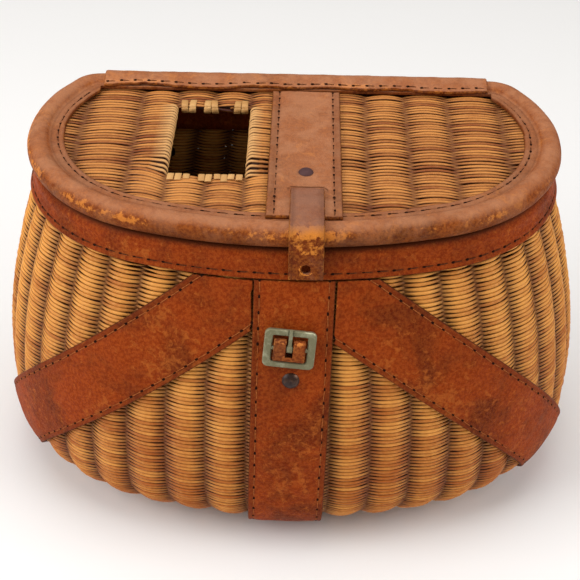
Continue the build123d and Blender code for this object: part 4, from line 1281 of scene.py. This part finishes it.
def caneBands(name, edgeY, side, first, last, count, gaps, replaced):
    points, faces, tones = [], [], []
    pitch, rings, thick = (last - first) / count, cane["rings"], cane["thick"]
    for strip in range(count):
        if strip in gaps:
            continue
        left, right = first + pitch * strip + cane["gap"], first + pitch * (strip + 1) - cane["gap"]
        skew, lift, reach = (caneChance.uniform(*ends) for ends in ((-1.6, 1.6), (-0.2, 0.4), (-1.2, 1.2)))
        tone = caneChance.uniform(0.2, 1.0)
        at, run = caneLine(edgeY, side, lift, reach)
        middle, start = (left + right) / 2, len(points)
        section = ((left, -0.1), (left + 0.3, thick * 0.8), (middle, thick), (right - 0.3, thick * 0.8),
                   (right, -0.1), (middle, -0.25))
        for j in range(rings + 1):
            point, ahead = at(j / rings)
            out = Vector((0, -ahead.y * side, ahead.x * side))
            out = out if out.z * (1 if j < rings / 2 else -1) >= 0 or abs(out.z) < 0.5 else -out
            drift = skew * (0.5 - j / rings)
            points += [Vector((x + drift, point.x, point.y)) + out * h for x, h in section]
            tones += [tone] * 6
        for j in range(rings):
            for i in range(6):
                a, b = start + j * 6 + i, start + j * 6 + (i + 1) % 6
                faces.append((a, b, b + 6, a + 6))
        faces += [tuple(start + i for i in range(6)), tuple(start + rings * 6 + 5 - i for i in range(6))]
    solid(name, points, faces, "cane", "lid", replaced, {"tone": tones, "wave": [1.0] * len(points)})


caneBands("frontCane", lid["holeFront"], -1.0, -73.0, -29.0, 10, (3,), ("fish_hole_front_wrap",))
caneBands("backCane", lid["holeBack"], 1.0, -72.0, -29.5, 9, (2, 5, 6), ("fish_hole_back_wrap",))
placeStitches()

# the studio: a pale floor, three soft lamps and an even sky; sizes in metres
studio = {
    "floor": 4.0, "floorColor": (0.90, 0.885, 0.87, 1), "floorRoughness": 0.6,
    "sky": (0.86, 0.85, 0.83, 1), "skyStrength": 0.4, "aim": (0, 0, 0.1),
    "lamps": {"left": ((-1.5, -0.6, 1.15), 1.2, 25.0), "right": ((1.5, -0.5, 1.1), 1.2, 15.0),
              "top": ((-0.1, 0.1, 2.0), 1.5, 17.0)},
}


def stage():
    mesh = bpy.data.meshes.new("floor")
    size = studio["floor"]
    corners = [(-size, -size, 0), (size, -size, 0), (size, size, 0), (-size, size, 0)]
    mesh.from_pydata(corners, [], [(0, 1, 2, 3)])
    material, _, shader = newMaterial("paleFloor")
    shader["Base Color"].default_value = studio["floorColor"]
    shader["Roughness"].default_value = studio["floorRoughness"]
    mesh.materials.append(material)
    addObject("floor", mesh)
    for name, (place, size, watts) in studio["lamps"].items():
        data = bpy.data.lights.new(name, "AREA")
        data.size, data.energy = size, watts
        lamp = addObject(name, data)
        lamp.location = place
        lamp.rotation_euler = (Vector(studio["aim"]) - Vector(place)).to_track_quat("-Z", "Y").to_euler()
    world = bpy.data.worlds.new("paleWorld")
    world.use_nodes = True
    sky = world.node_tree.nodes["Background"].inputs
    sky["Color"].default_value = studio["sky"]
    sky["Strength"].default_value = studio["skyStrength"]
    scene.world = world


stage()

# the solids that stay take the finish of their slot, and the lid's rivet is duller than the rest
slotFinish = {"harness_leather": "harness", "lid_leather": "lid", "strap_leather": "strap",
              "rivet_metal": "rivet"}
for row in frame["record"]["subparts"]:
    piece = bpy.data.objects.get(row["node"])
    finish = slotFinish.get(row["material_slot"], row["material_slot"])
    if row["node"] == "lid_rivet":
        finish = "lidRivet"
    for slot in piece.material_slots if piece else ():
        slot.material = finishes[finish]
